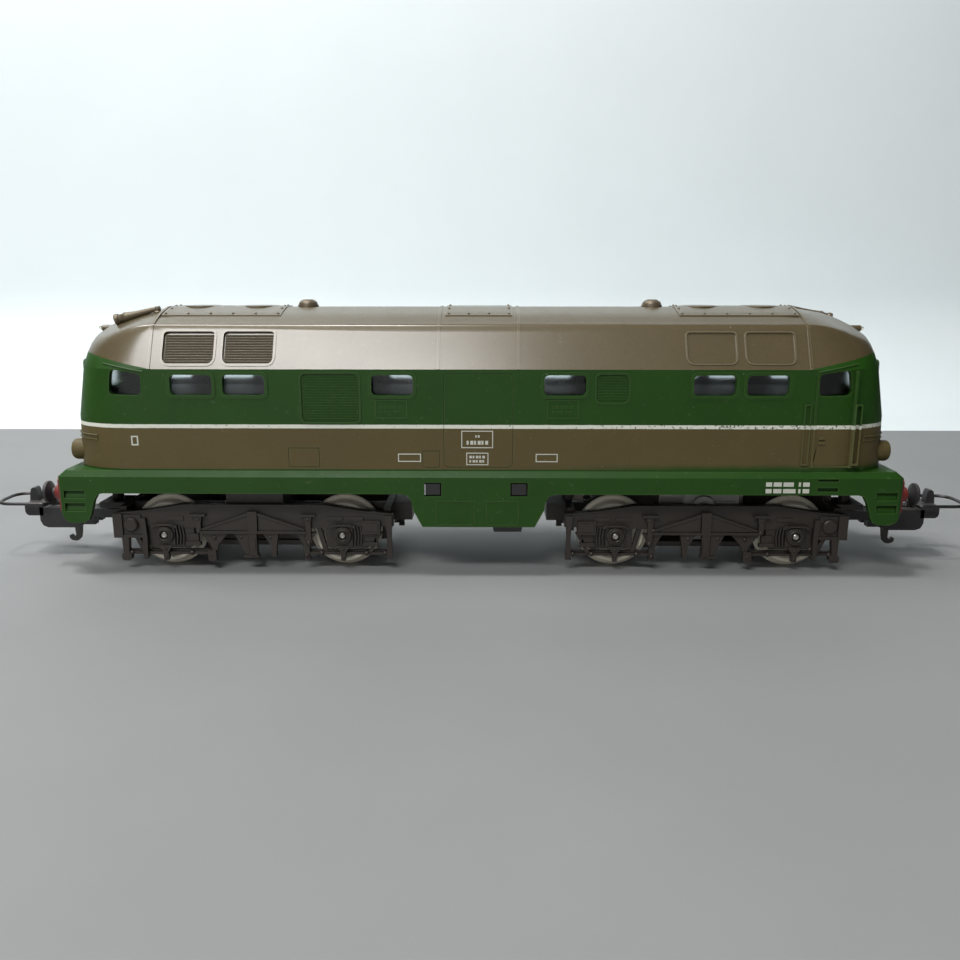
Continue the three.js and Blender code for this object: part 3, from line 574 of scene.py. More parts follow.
def painted_shell():
    """Green, brown and bronze spray paint, in bands by height, with a white line, handling wear, painted
    shade in the corners and a painted highlight on the edges.
    """
    m = Nodes("painted_shell")
    place = m.add("ShaderNodeSeparateXYZ", [m.mm])
    x = place.outputs["X"]
    z = place.outputs["Z"]
    slow = m.noise(0.10, 4)
    fine = m.noise(3.0, 5, 0.7)
    wander = m.math("SUBTRACT", m.noise(0.45, 3), 0.5)
    ragged = m.math("SUBTRACT", m.noise(2.6, 4, 0.65), 0.5)
    # paint colours, each with its own drift and speckle
    green = m.mix(slow, GREEN_DARK, GREEN)
    brown = m.mix(slow, tuple(c * 0.82 for c in BROWN), tuple(c * 1.1 for c in BROWN))
    brown = m.mix(m.times(fine, 0.25), brown, (0.07, 0.055, 0.034))
    flakes = m.noise(9.0, 2, 0.6)
    bronze = m.mix(m.above(flakes, 0.5, 0.2), BRONZE_DARK, BRONZE)
    bronze = m.mix(m.times(slow, 0.5), bronze, tuple(c * 1.25 for c in BRONZE))
    # heights where one colour gives way to the next
    wavy = m.math("MULTIPLY_ADD", wander, 0.10, m.math("MULTIPLY_ADD", ragged, 0.07, z))
    sill_wave = m.math("MULTIPLY_ADD", wander, 0.5, z)
    half_x = m.math("ABSOLUTE", x)
    rise = m.times(m.math("MAXIMUM", m.math("SUBTRACT", half_x, SEAM_X), 0.0), CAB_RISE)
    rise = m.math("MINIMUM", rise, 2.6)
    roof_height = m.math("SUBTRACT", wavy, rise)
    overspray = m.above(x, 25.0, 22.0)
    masked = m.times(m.above(z, PLATFORM_Z + 0.3, 0.08), m.rest(overspray))
    sill_soft = m.math("MULTIPLY_ADD", m.above(sill_wave, PLATFORM_Z + 0.9, 0.7), overspray, masked)
    tone = m.mix(sill_soft, green, brown)
    tone = m.mix(m.above(z, LINE_Z[0] + 0.2, 0.03), tone, green)
    chipped = m.times(m.above(x, 20.0, 30.0), 0.09)
    paint_left = m.above(m.math("SUBTRACT", m.noise(2.0, 4, 0.7), chipped), 0.33, 0.06)
    under_top = m.rest(m.above(wavy, LINE_Z[1], 0.05))
    on_line = m.times(m.above(wavy, LINE_Z[0], 0.05), under_top)
    tone = m.mix(m.times(on_line, paint_left), tone, WHITE)
    on_roof = m.above(roof_height, WAIST_Z, 0.05)
    tone = m.mix(on_roof, tone, bronze)
    # scratches rubbed into the roof's side, left of the middle
    streaks = m.noise(1.3, 5, 0.75, stretch=(1.5, 1, 0.45), distortion=0.8)
    near_rub = m.rest(m.above(m.math("ABSOLUTE", m.math("ADD", x, 24.0)), 9.0, 8.0))
    rubbed = m.times(m.times(m.above(streaks, 0.62, 0.06), near_rub), on_roof)
    tone = m.mix(m.times(rubbed, 0.4), tone, (0.10, 0.082, 0.052))
    # painted shade darkens the corners and slots; the edges that stand out get a pale painted highlight,
    # partly worn paint, and hands leave pale wear
    hidden = m.rest(m.cavity(0.7))
    tone = m.mix(m.times(hidden, 0.38, clamp=True), tone, (0.012, 0.014, 0.008))
    # painted highlight: edges that stand out are made pale, partly as worn paint
    corners = m.rest(m.edge(0.22))
    edge_wear_and_highlight = m.times(m.above(corners, 0.32, 0.25), m.math("MULTIPLY_ADD", fine, 0.5, 0.1))
    tone = m.mix(edge_wear_and_highlight, tone, m.mix(on_roof, (0.12, 0.19, 0.07), (0.42, 0.36, 0.24)))
    handled = m.above(m.noise(0.9, 6, 0.75), 0.64, 0.05)
    tone = m.mix(m.times(handled, 0.10), tone, (0.30, 0.30, 0.24))
    specks = m.above(m.noise(1.6, 2, 0.5), 0.79, 0.01)
    tone = m.mix(m.times(specks, 0.5), tone, (0.42, 0.42, 0.34))
    blotch = m.noise(0.22, 5, 0.6)
    rough = m.math("MULTIPLY_ADD", blotch, 0.22, m.math("MULTIPLY_ADD", fine, 0.16, 0.30))
    rough = m.math("ADD", rough, m.times(rubbed, 0.15))
    m.set(base_color=tone, roughness=rough, metallic=m.times(on_roof, 0.15),
          coat_weight=m.times(on_roof, 0.95), coat_roughness=0.24, specular_ior_level=0.28)
    speckle = m.math("MULTIPLY_ADD", m.noise(6.0, 3, 0.7), 0.5, m.times(m.noise(0.8, 4), 0.7))
    m.bump(m.math("SUBTRACT", speckle, m.times(rubbed, 0.6)), 0.30, 0.06)
    return m.material


def make_materials():
    return {
        "painted_shell": painted_shell(),
        "inside_plastic": moulded("inside_plastic", (0.030, 0.050, 0.028), 0.6),
        "printed_white": moulded("printed_white", (0.62, 0.63, 0.55), 0.55, dust=0.5,
                                 dust_colour=(0.25, 0.24, 0.18)),
        "black_plastic": moulded("black_plastic", (0.022, 0.021, 0.023), 0.45, dust=0.3),
        # painted shade blackens the deep hollows of the side frames' plastic
        "brown_black_plastic": moulded("brown_black_plastic", (0.031, 0.0235, 0.019), 0.40, dust=0.36,
                                       dust_colour=(0.15, 0.12, 0.095), grain=0.5, shade=1.0),
        "red_plastic": moulded("red_plastic", (0.20, 0.022, 0.018), 0.42, dust=0.4),
        "bronze_plastic": moulded("bronze_plastic", (0.15, 0.12, 0.078), 0.36, dust=0.25, metallic=0.4),
        "pale_grey_plastic": moulded("pale_grey_plastic", (0.30, 0.30, 0.28), 0.5, dust=0.5,
                                     dust_colour=(0.10, 0.09, 0.08)),
        "nylon": moulded("nylon", (0.55, 0.51, 0.42), 0.42, dust=0.5, dust_colour=(0.16, 0.12, 0.08)),
        "ballast_metal": moulded("ballast_metal", (0.070, 0.074, 0.078), 0.42, dust=0.5, metallic=0.55,
                                 grain=0.8),
        "blackened_wire": worn_metal("blackened_wire", (0.075, 0.072, 0.072), 0.34),
        "plated_steel": worn_metal("plated_steel", (0.56, 0.54, 0.50), 0.3),
        "wheel_metal": worn_metal("wheel_metal", (0.90, 0.84, 0.70), 0.42, 0.35, (0.26, 0.21, 0.15), 0.2),
        "rotor_steel": worn_metal("rotor_steel", (0.36, 0.34, 0.33), 0.4),
        # painted shade: the pickup strips' bronze is made far darker than bare metal, as they sit in
        # shadow behind the side frames
        "spring_bronze": worn_metal("spring_bronze", (0.13, 0.085, 0.055), 0.4, 0.8, (0.03, 0.024, 0.02)),
        "brass": worn_metal("brass", (0.70, 0.52, 0.24), 0.3),
        "clear_plastic": clear("clear_plastic", (0.80, 0.84, 0.86), 0.04, 0.14),
        "lens_plastic": clear("lens_plastic", (0.92, 0.89, 0.78), 0.05, 0.08),
    }


MATERIALS = make_materials()


# ---------- body shell ----------
# side windows of one end, from the cab inwards; the other end and side are mirrored
WINDOWS = [
    [(61.6, 34.4), (67.8, 34.4), (67.2, 39.1), (61.5, 38.3)],
    box_outline((48.5, 56.2), (34.4, 38.14)),
    box_outline((38.9, 46.6), (34.4, 38.14)),
    box_outline((11.9, 19.5), (34.4, 38.14)),
]
CAB_PANE = [(0.8, 34.3), (6.9, 34.3), (6.6, 39.8), (0.8, 39.8)]
WINDOW_ROUND = 1.0
LOUVRE_PANELS = [(-57.6, -48.2), (-46.6, -37.3)]
PLAIN_PANELS = [(37.5, 46.9), (48.2, 57.4)]
PANEL_Z = (40.0, 45.7)
GRILLE = ((-32.3, -21.8), (29.5, 38.4))
SMALL_GRILLE = ((21.4, 27.2), (33.2, 38.3))
PLATES = [((-18.7, -13.2), (30.4, 33.4)), ((12.7, 18.1), (30.4, 33.4))]
MIDDLE_DOOR = ((-6.3, 6.2), (21.2, 38.4))
HATCHES = [(-SEAM_X, -36.7), (-6.6, 6.5), (36.9, SEAM_X)]
FAN_X = 5.7  # a fan's distance each side of the middle of a long hatch
LUGS_X = (-8.5, 7.5)
LUG_Z = 17.0
GAP_Y = 7.0  # half the width of the gap in each end that the coupler's arm swings in
GAP_TOP_Z = 13.0


def panel_outline(x, z, top=0.8, bottom=1.5):
    """An upright rectangle whose lower corners are rounder than its upper ones."""
    return rounded(box_outline(x, z), (bottom, bottom, top, top))


def shell_body():
    """Outer and inner skins with an open bottom; the inner one has its own material."""
    steps = 8
    outer = [
        plan_ring(BEAM_X, SILL_Y, 1.0, 1.0, SKIRT_Z, steps),
        plan_ring(BEAM_X, SILL_Y, 1.0, 1.0, SILL_EDGE_Z, steps),
        plan_ring(BEAM_X - 1.3, BODY_Y + 0.1, 1.0, 1.0, PLATFORM_Z, steps),
    ]
    outer += [plan_ring(x, y, CORNER_X, CORNER_Y, z, steps) for z, x, y in BODY_LEVELS]
    inner = [
        plan_ring(BEAM_X - WALL, SILL_Y - WALL, 0.5, 0.5, SKIRT_Z, steps),
        plan_ring(BEAM_X - WALL, SILL_Y - WALL, 0.5, 0.5, PLATFORM_Z - WALL, steps),
    ]
    for z, x, y in BODY_LEVELS:
        drop = WALL if z > WAIST_Z + 2 else (z - PLATFORM_Z) / (WAIST_Z + 2 - PLATFORM_Z) * WALL
        inner.append(plan_ring(x - WALL, max(y - WALL, 1.0), CORNER_X - WALL, CORNER_Y - WALL,
                               z - drop + 0.01, steps))
    shape = Shape()
    outer = [shape.points(ring) for ring in outer]
    inner = [shape.points(ring) for ring in inner]
    shape.skin(outer)
    shape.skin(inner, material=1)
    bottoms = [f for f in shape.bm.faces if set(f.verts) in (set(outer[0]), set(inner[0]))]
    bmesh.ops.delete(shape.bm, geom=bottoms, context="FACES_ONLY")
    count = len(outer[0])
    for i in range(count):
        j = (i + 1) % count
        shape.bm.faces.new((outer[0][i], outer[0][j], inner[0][j], inner[0][i]))
    return solid("body_shell_moulding", shape)


def window_frames():
    """Slightly raised frames, to be cut by the openings afterwards."""
    shape = Shape()
    for side in SIDES.values():
        shape.place = on_wall(side)
        for end in ENDS.values():
            for corners in WINDOWS[1:]:
                placed = [(end * x, z) for x, z in grown(corners, 0.55)]
                shape.prism("y", rounded(placed, WINDOW_ROUND + 0.4), (-0.3, 0.16))
    for end in ENDS.values():
        shape.place = mirrored(end)
        for side in SIDES.values():
            outline = [(side * y, z) for y, z in grown(CAB_PANE, 0.42)]
            waist_x = LEVELS[2][1] - 0.1
            low_x = at_height(34.0)[0]
            shape.prism("x", rounded(outline, 1.0), (waist_x - 0.9, (waist_x + low_x) / 2 + 0.25))
    return shape


def openings():
    """The room for the bogies under the sill, and the side windows."""
    shape = Shape()
    for end in ENDS.values():
        shape.place = mirrored(end)
        room = [(10.5, SKIRT_Z), (12.2, 13.0), (12.5, 14.8), (13.2, 15.8), (14.6, SILL_BOTTOM_Z),
                (70.2, SILL_BOTTOM_Z), (71.2, 15.8), (71.9, 14.6), (72.7, 11.9), (73.2, 10.9),
                (74.2, BLOCK_BOTTOM_Z), (76.4, BLOCK_BOTTOM_Z), (77.4, 10.8), (BEAM_X, 12.4),
                (BEAM_X + 2, 12.4), (BEAM_X + 2, SKIRT_Z - 1), (10.5, SKIRT_Z - 1)]
        shape.prism("y", room, (-SILL_Y - 1, SILL_Y + 1))
        for corners in WINDOWS:
            shape.prism("y", rounded(corners, WINDOW_ROUND), (-SILL_Y - 1, SILL_Y + 1))
    return shape


def small_openings():
    """Cab panes, the gaps for the coupler arms, latch holes, and seats for the lenses."""
    shape = Shape()
    for end in ENDS.values():
        shape.place = mirrored(end)
        shape.box((76.8, BEAM_X + 1), (-GAP_Y, GAP_Y), (SKIRT_Z - 0.5, GAP_TOP_Z))
        for side in SIDES.values():
            outline = [(side * y, z) for y, z in CAB_PANE]
            shape.prism("x", rounded(outline, 0.9), (72.0, 79.0))
            seat = [(0, 76.7), (1.6, 76.7), (1.6, 79.5), (0, 79.5)]
            shape.turned("x", (side * HEADLIGHT_Y, HEADLIGHT_Z), seat)
        shape.turned("x", (0, MARKER_Z), [(0, 73.7), (0.42, 73.7), (0.42, 75.5), (0, 75.5)], 16)
    shape.place = straight
    for x in LUGS_X:
        shape.box((x - 1.6, x + 1.6), (-SILL_Y - 1, SILL_Y + 1), (LUG_Z - 1.3, LUG_Z + 1.3))
    return shape


def lamp_housings():
    """Round headlight housings and the small top lamp."""
    shape = Shape()
    for end in ENDS.values():
        shape.place = mirrored(end)
        for side in SIDES.values():
            profile = [(0, 74.6), (2.0, 74.6), (2.0, 76.95), (1.93, 77.3), (1.75, 77.55), (0, 77.55)]
            shape.turned("x", (side * HEADLIGHT_Y, HEADLIGHT_Z), profile, 40)
        small_profile = [(0, 72.0), (0.62, 72.0), (0.62, 73.9), (0.5, 74.1), (0, 74.1)]
        shape.turned("x", (0, MARKER_Z), small_profile, 24)
    return shape


def recesses():
    """Shallow cuts in the walls: louvre beds, grilles, steps, grooves."""
    shape = Shape()
    for side in SIDES.values():
        shape.place = on_lean(side)
        for x in LOUVRE_PANELS:
            shape.prism("y", panel_outline(x, PANEL_Z), (-0.45, 0.6))
        for x in PLAIN_PANELS:
            shape.prism("y", panel_outline(x, PANEL_Z), (-0.12, 0.6))
        shape.place = on_wall(side)
        for x, z in (GRILLE, SMALL_GRILLE):
            shape.prism("y", rounded(box_outline(x, z), 1.1), (-0.16, 0.6))
        for x, z in (MIDDLE_DOOR, ((-35.0, -29.5), (21.2, 24.6)), ((-10.2, -7.3), (21.2, 24.1))):
            radii = (1.2, 1.05) if x == MIDDLE_DOOR[0] else (0.3, 0.2)
            outline = box_outline(x, z)
            around = rounded(grown(outline, 0.16), radii[1])
            shape.frame("y", rounded(outline, radii[0]), around, (-0.12, 0.4))
        for z in ((18.7, 19.15), (16.8, 17.5)):
            shape.box((62.5, 66.3), (0.0, 1.5), z)
        for end in ENDS.values():
            for (x0, x1), z in (((73.5, 77.4), (15.2, 16.6)), ((73.6, 77.4), (12.7, 14.2))):
                steps = [(SILL_Y - BODY_Y + 0.2, z[1]), (SILL_Y - BODY_Y + 0.2, z[0] - 0.25),
                         (0.25, z[0] + 0.1), (-0.2, z[1])]
                shape.prism("x", steps, tuple(sorted((end * x0, end * x1))))
    return shape


def louvres(shape, x, z, count, low_out, high_out):
    """Horizontal slats, each with a sloping top."""
    pitch = (z[1] - z[0]) / count
    for i in range(count):
        base = z[0] + i * pitch
        outline = [(low_out - 0.15, base + 0.04 * pitch), (low_out + 0.02, base + 0.06 * pitch),
                   (high_out, base + 0.72 * pitch), (low_out - 0.15, base + 0.95 * pitch)]
        shape.prism("x", outline, x)


def wall_relief():
    """Raised mouldings on the side walls."""
    shape = Shape()
    for side in SIDES.values():
        shape.place = on_lean(side)
        for x in LOUVRE_PANELS:
            slat_z = (PANEL_Z[0] + 0.3, PANEL_Z[1] - 0.4)
            louvres(shape, (x[0] + 0.3, x[1] - 0.3), slat_z, 11, -0.45, -0.12)
            around_z = (PANEL_Z[0] - 0.35, PANEL_Z[1] + 0.35)
            outer = panel_outline((x[0] - 0.35, x[1] + 0.35), around_z, 1.1, 1.8)
            shape.frame("y", outer, panel_outline(x, PANEL_Z), (-0.3, 0.12))
        for x in PLAIN_PANELS:
            inside_z = (PANEL_Z[0] + 0.12, PANEL_Z[1] - 0.12)
            inner = panel_outline((x[0] + 0.3, x[1] - 0.3), inside_z, 0.6, 1.3)
            shape.frame("y", panel_outline(x, PANEL_Z), inner, (-0.3, 0.14))
        shape.place = on_wall(side)
        for (x, z), count in ((GRILLE, 17), (SMALL_GRILLE, 9)):
            louvres(shape, (x[0] + 0.25, x[1] - 0.25), (z[0] + 0.3, z[1] - 0.3), count, -0.16, -0.06)
        for x, z in (GRILLE, SMALL_GRILLE):
            outer = rounded(grown(box_outline(x, z), 0.35), 1.4)
            shape.frame("y", outer, rounded(box_outline(x, z), 1.1), (-0.3, 0.12))
        for x, z in PLATES:
            outline = box_outline(x, z)
            shape.frame("y", rounded(outline, 0.3), rounded(grown(outline, 0.25), 0.15), (-0.3, 0.1))
            blank_rows(shape, (x[0] + 0.7, x[1] - 0.7), (z[0] + 0.65, z[1] - 0.65), (-0.3, 0.08), 2, 5)
        cab_door(shape)
        skirt_boxes(shape)
    return shape


def blank_rows(shape, x, z, out, rows, columns):
    """Plain blocks in rows, where a plate carries its markings."""
    row_height = (z[1] - z[0]) / rows
    pitch = (x[1] - x[0]) / columns
    for row in range(rows):
        base = z[0] + row * row_height
        for column in range(columns):
            start = x[0] + column * pitch
            width = pitch * (0.55 + 0.25 * ((row + column) % 2))
            shape.box((start, start + width), out, (base + row_height * 0.15, base + row_height * 0.75))


def cab_door(shape):
    """Frame ribs, grab rails and handle of the door behind the rear cab's front."""
    door = (61.2, 68.2)
    for x in door:
        shape.box((x - 0.22, x + 0.22), (-0.4, 0.2), (21.2, 38.9))
    shape.box(door, (-0.4, 0.08), (21.2, 21.5))
    for x in (59.75, 68.95):
        outline = box_outline((x - 0.42, x + 0.42), (21.9, 32.7))
        shape.frame("y", rounded(outline, 0.38), rounded(grown(outline, 0.24), 0.16), (-0.5, 0.32))
    for z in (25.6, 26.5):
        shape.box((62.1, 63.2), (-0.3, 0.28), (z, z + 0.5))


def skirt_boxes(shape):
    """Faint square mouldings on the middle skirt, and a bead along the sill."""
    sill = SILL_Y - BODY_Y
    for x in ((-7.8, -0.8), (1.6, 7.3)):
        outline = box_outline(x, (10.3, 14.7))
        around = rounded(grown(outline, 0.18), 0.1)
        shape.frame("y", rounded(outline, 0.2), around, (sill - 0.3, sill + 0.07))
    for x in (-4.3, 4.5):
        shape.box((x - 0.2, x + 0.2), (sill - 0.3, sill + 0.07), (14.9, 15.4))


def arch(top, bottom):
    """A band over the roof from wall to wall: how far it stands out, and how deep it goes."""
    half = [(y, z) for z, _, y in BODY_LEVELS if z >= WAIST_Z]
    line = [(y, z) for y, z in half] + [(-y, z) for y, z in reversed(half)]
    outer = []
    inner = []
    for i, (y, z) in enumerate(line):
        before = Vector(line[max(i - 1, 0)])
        after = Vector(line[min(i + 1, len(line) - 1)])
        ahead = (after - before).normalized()
        out = Vector((ahead.y, -ahead.x))
        if out.dot(Vector((y, z - 30))) < 0:
            out = -out
        outer.append((y + out.x * top, z + out.y * top))
        inner.append((y - out.x * bottom, z - out.y * bottom))
    return outer + inner[::-1]


def hatch_band(top):
    """Cross-section of a hatch that follows the roof between its two edges."""
    ys = [-HATCH_Y + i * HATCH_Y / 8 for i in range(17)]
    return [(y, roof_z(y) + top) for y in ys] + [(y, roof_z(y) - 0.4) for y in reversed(ys)]


def roof_relief():
    """Seams over the roof, and its hatches."""
    shape = Shape()
    for x in (-SEAM_X - 0.3, -MIDDLE_SEAM_X, MIDDLE_SEAM_X, SEAM_X + 0.3):
        shape.prism("x", arch(0.13, 0.3), (x - 0.24, x + 0.24))
    for x0, x1 in HATCHES:
        shape.prism("x", hatch_band(0.2), (x0 + 0.3, x1 - 0.3))
    return shape


def fans_and_rivets():
    """Fan rings on the long hatches, and the rivets around every hatch."""
    shape = Shape()
    for x0, x1 in HATCHES:
        count = max(4, round((x1 - x0) / 3.9))
        inset = 0.9
        for i in range(count):
            x = x0 + inset + (x1 - x0 - 2 * inset) * i / (count - 1)
            for side in SIDES.values():
                y = side * (HATCH_Y - 0.7)
                shape.dome("z", (x, y), roof_z(y) + 0.2, 0.26, 0.2, 8)
        for x in (x0 + inset, x1 - inset):
            for y in (-3.9, -1.3, 1.3, 3.9):
                shape.dome("z", (x, y), roof_z(y) + 0.2, 0.26, 0.22, 8)
        if x1 - x0 > 20:
            for way in (-1, 1):
                fan(shape, (x0 + x1) / 2 + way * FAN_X)
    return shape


def fan(shape, x):
    """A raised ring with a hub and blades inside."""
    rim = 3.55
    section = [(rim - 0.4, 49.5), (rim, 49.5), (rim, 49.98), (rim - 0.15, 50.06), (rim - 0.4, 49.98)]
    shape.turned("z", (x, 0), section, 40)
    shape.dome("z", (x, 0), 49.88, 0.8, 0.15, 16)
    blades = 10
    for i in range(blades):
        angle = 2 * math.pi * i / blades
        ahead = Vector((math.cos(angle), math.sin(angle)))
        across = Vector((-ahead.y, ahead.x)) * 0.16
        near_hub = Vector((x, 0)) + ahead * 0.95
        at_rim = Vector((x, 0)) + ahead * (rim - 0.5)
        outline = [near_hub + across, near_hub - across, at_rim - across * 2.2, at_rim + across * 2.2]
        shape.prism("z", [tuple(p) for p in outline], (49.5, 49.92))


def cab_trim():
    """Bars that run round the cab: drip rails and the belt above the headlights."""
    shape = Shape()
    for end in ENDS.values():
        shape.place = mirrored(end)
        for side in SIDES.values():
            rail = []
            for i in range(8):
                past = i * 1.1
                x = 61.0 + past
                z = WAIST_Z - 0.45 + past * CAB_RISE * 0.9
                rail.append((x, side * (skin_y(x, z) + 0.02), z))
            shape.tube(rail, 0.17, 6)
        upper = round_the_front(26.8, 70.0, 0.02)
        lower = round_the_front(26.0, 70.0, 0.02)
        shape.tube(upper + lower[::-1], 0.16, 6, closed=True)
    return shape


def round_the_front(z, from_x, out):
    """Points on the skin at one height, from one side of the cab round to the other."""
    half_length, half_width = at_height(z)
    ring = plan_ring(half_length + out, half_width + out, CORNER_X, CORNER_Y, z, 14)
    quarter = len(ring) // 4
    return [p for p in ring[3 * quarter:] + ring[:quarter] if p[0] >= from_x]


def build_shell():
    shell = shell_body()
    combine(shell, "UNION", lamp_housings())
    combine(shell, "UNION", window_frames())
    combine(shell, "DIFFERENCE", openings())
    combine(shell, "DIFFERENCE", small_openings())
    combine(shell, "DIFFERENCE", recesses())
    combine(shell, "UNION", wall_relief())
    combine(shell, "UNION", roof_relief())
    combine(shell, "UNION", fans_and_rivets())
    combine(shell, "UNION", cab_trim())
    seats = Shape()
    for end in ENDS.values():
        seats.place = mirrored(end)
        seats.turned("z", (CAP_X, 0), [(0, 45), (0.9, 45), (0.9, 52), (0, 52)], 16)
    combine(shell, "DIFFERENCE", seats)
    materials = [MATERIALS["painted_shell"], MATERIALS["inside_plastic"]]
    finished(shell, "body", ["body_shell"], "painted_shell", materials, sharp=22)


build_shell()


# ---------- printed marks ----------
def printed_marks():
    """White frames and plain bars in place of the lettering, on both sides."""
    shape = Shape()
    out = (-0.05, 0.035)
    for side in SIDES.values():
        shape.place = on_wall(side)
        for x, z in (((-3.0, 2.5), (24.9, 27.8)), ((-2.1, 1.65), (21.7, 23.7)),
                     ((-14.7, -10.8), (22.3, 23.5)), ((10.7, 14.4), (22.3, 23.5))):
            outline = box_outline(x, z)
            shape.frame("y", outline, grown(outline, 0.17), out)
        blank_rows(shape, (-2.2, 1.9), (25.2, 26.4), out, 1, 6)
        blank_rows(shape, (-0.6, 0.3), (26.6, 27.3), out, 1, 2)
        blank_rows(shape, (-1.7, 1.3), (21.9, 23.5), out, 2, 5)
        outline = box_outline((-63.85, -63.05), (25.35, 26.65))
        shape.frame("y", grown(outline, 0.25), outline, out)
        sill = SILL_Y - BODY_Y
        for row, z in enumerate(((17.75, 18.55), (16.5, 17.3))):
            widths = ((53.0, 54.1), (54.4, 55.9), (56.2, 58.1 + row * 0.4), (59.0, 59.4), (59.8, 61.0))
            for x in widths:
                shape.box(x, (sill - 0.05, sill + 0.035), z)
    made = solid("printed_marks", shape)
    finished(made, "body", [], "painted_shell", [MATERIALS["printed_white"]])


# ---------- glazing and lenses ----------
def side_glazing(name, side):
    """A clear strip that follows the inside of the wall, behind the windows of one side."""
    height = (33.7, 39.1)
    gap = 0.06
    thickness = 0.7
    half_length = 68.4
    steps = 76
    places = [half_length * (2 * i / steps - 1) for i in range(steps + 1)]
    outer = [(x, side * (skin_y(x, height[1], WALL) - gap)) for x in places]
    inner = [(x, y - side * thickness) for x, y in outer]
    shape = Shape()
    shape.prism("z", outer + inner[::-1], height)
    piece(f"window_strip_{name}", shape, "body", f"glazing_{name}", "clear_plastic", bevel=0.06)


def windscreen(name, end):
    """A clear sheet behind the two panes of a cab front."""
    shape = Shape(mirrored(end))
    heights = (33.8, 40.3)
    front = [(at_height(z)[0] - WALL - 0.1, z) for z in heights]
    back = [(x - 0.7, z) for x, z in front]
    shape.prism("y", [front[0], front[1], back[1], back[0]], (-7.3, 7.3))
    piece(f"cab_windscreen_{name}", shape, "body", f"windscreen_{name}", "clear_plastic", bevel=0.06)


def lens(name, node, end, y, z, x, radius):
    """A domed lens with its rim."""
    shape = Shape(mirrored(end))
    profile = [(0, x), (radius, x), (radius, x + 0.45), (radius * 0.92, x + 0.6)]
    for i in range(1, 5):
        angle = i * math.pi / 10
        profile.append((radius * 0.92 * math.cos(angle), x + 0.6 + 0.38 * math.sin(angle)))
    profile.append((0, x + 0.99))
    shape.turned("x", (y, z), profile, 32)
    piece(name, shape, "body", node, "lens_plastic")


# ---------- roof fittings ----------
def roof_cap(name, end):
    """A turned exhaust cap with a rolled rim and a shallow dish."""
    profile = [(0, 48.5), (0.78, 48.5), (0.78, 49.3), (1.8, 49.35), (1.98, 49.55), (2.02, 49.85),
               (1.96, 50.15), (1.84, 50.2), (1.82, 50.4), (1.66, 50.7), (1.38, 50.95), (1.1, 51.08),
               (0.95, 51.18), (0.75, 51.18), (0.65, 51.1), (0, 51.06)]
    shape = Shape(mirrored(end))
    shape.turned("z", (CAP_X, 0), profile, 40)
    for i in range(4):
        angle = (i + 0.5) * math.pi / 2
        shape.dome("z", (CAP_X + 1.68 * math.cos(angle), 1.68 * math.sin(angle)), 50.5, 0.16, 0.14, 8)
    piece(f"exhaust_cap_{name}", shape, "body", f"roof_cap_{name}", "bronze_plastic")


def horn(name, end):
    """A trumpet that lies along the slope of the roof's nose, with two rings round its bell."""
    y = end * HORN_Y
    foot = Vector((61.4, y, 49.55))
    mouth = Vector((69.6, y, 47.45))
    along = (mouth - foot).normalized()
    rise = Vector((0, 1, 0)).cross(along)

    def place(a, b, depth):
        return mirrored(end)(*(foot + Vector((0, 1, 0)) * a + rise * b + along * depth))

    length = (mouth - foot).length
    shape = Shape(place)
    bell = [(0, -0.5), (0.42, -0.5), (0.62, length - 4.6), (0.82, length - 2.6), (0.94, length - 2.2),
            (0.94, length - 1.9), (0.8, length - 1.7), (0.8, length - 0.9), (0.98, length - 0.7),
            (1.05, length - 0.4), (1.05, length), (0.85, length), (0.5, length - 0.5), (0, length - 0.6)]
    shape.turned("z", (0, 0), bell, 24)
    shape.place = mirrored(end)
    top = skin_top(61.4, HORN_Y) - 0.2
    shape.turned("z", (61.4, y), [(0, top - 0.6), (0.8, top - 0.6), (0.8, top + 0.3), (0.55, top + 0.5),
                                  (0.55, 49.75), (0.4, 49.95), (0, 50.0)], 20)
    strap_top = skin_top(67.4, HORN_Y)
    shape.box((67.2, 67.6), (y - 0.3, y + 0.3), (strap_top - 0.5, 48.3))
    piece(f"roof_horn_{name}", shape, "body", f"horn_{name}", "bronze_plastic", sharp=40)


def skin_top(x, y):
    """Height of the roof's nose at a place, found from the top down."""
    z = ROOF_Z
    while skin_y(x, z) < abs(y) or at_height(z)[0] < x:
        z -= 0.05
    return z


# ---------- ends ----------
def buffer_beam(name, end):
    shape = Shape(mirrored(end))
    outline = [(-14.4, 12.6), (-13.7, 11.9), (-GAP_Y, 11.9), (-GAP_Y, GAP_TOP_Z), (GAP_Y, GAP_TOP_Z),
               (GAP_Y, 11.9), (13.7, 11.9), (14.4, 12.6), (14.4, 18.3), (13.7, 19.0), (-13.7, 19.0),
               (-14.4, 18.3)]
    shape.prism("x", outline, (78.6, 79.1))
    for side in SIDES.values():
        centre = (side * BUFFER_Y, BUFFER_Z)
        foot = rounded(box_outline((centre[0] - 2.0, centre[0] + 2.0), (13.0, 17.0)), 0.5)
        shape.prism("x", foot, (79.0, 79.4))
        sleeve = [(0.98, 79.2), (1.75, 79.2), (1.75, 79.8), (1.5, 80.0), (1.5, 81.2), (1.38, 81.4),
                  (0.98, 81.4)]
        shape.turned("x", centre, sleeve + sleeve[:1], 32)
        for dy in (-1.6, 1.6):
            for dz in (-1.6, 1.6):
                shape.dome("x", (centre[0] + dy, centre[1] + dz), 79.4, 0.22, 0.18, 8)
    for y in (-5.6, -3.4, 3.4, 5.6):
        shape.dome("x", (y, 18.6), 79.1, 0.3, 0.2, 8)
    piece(f"end_beam_{name}", shape, "body", f"buffer_beam_{name}", "red_plastic", bevel=0.06)


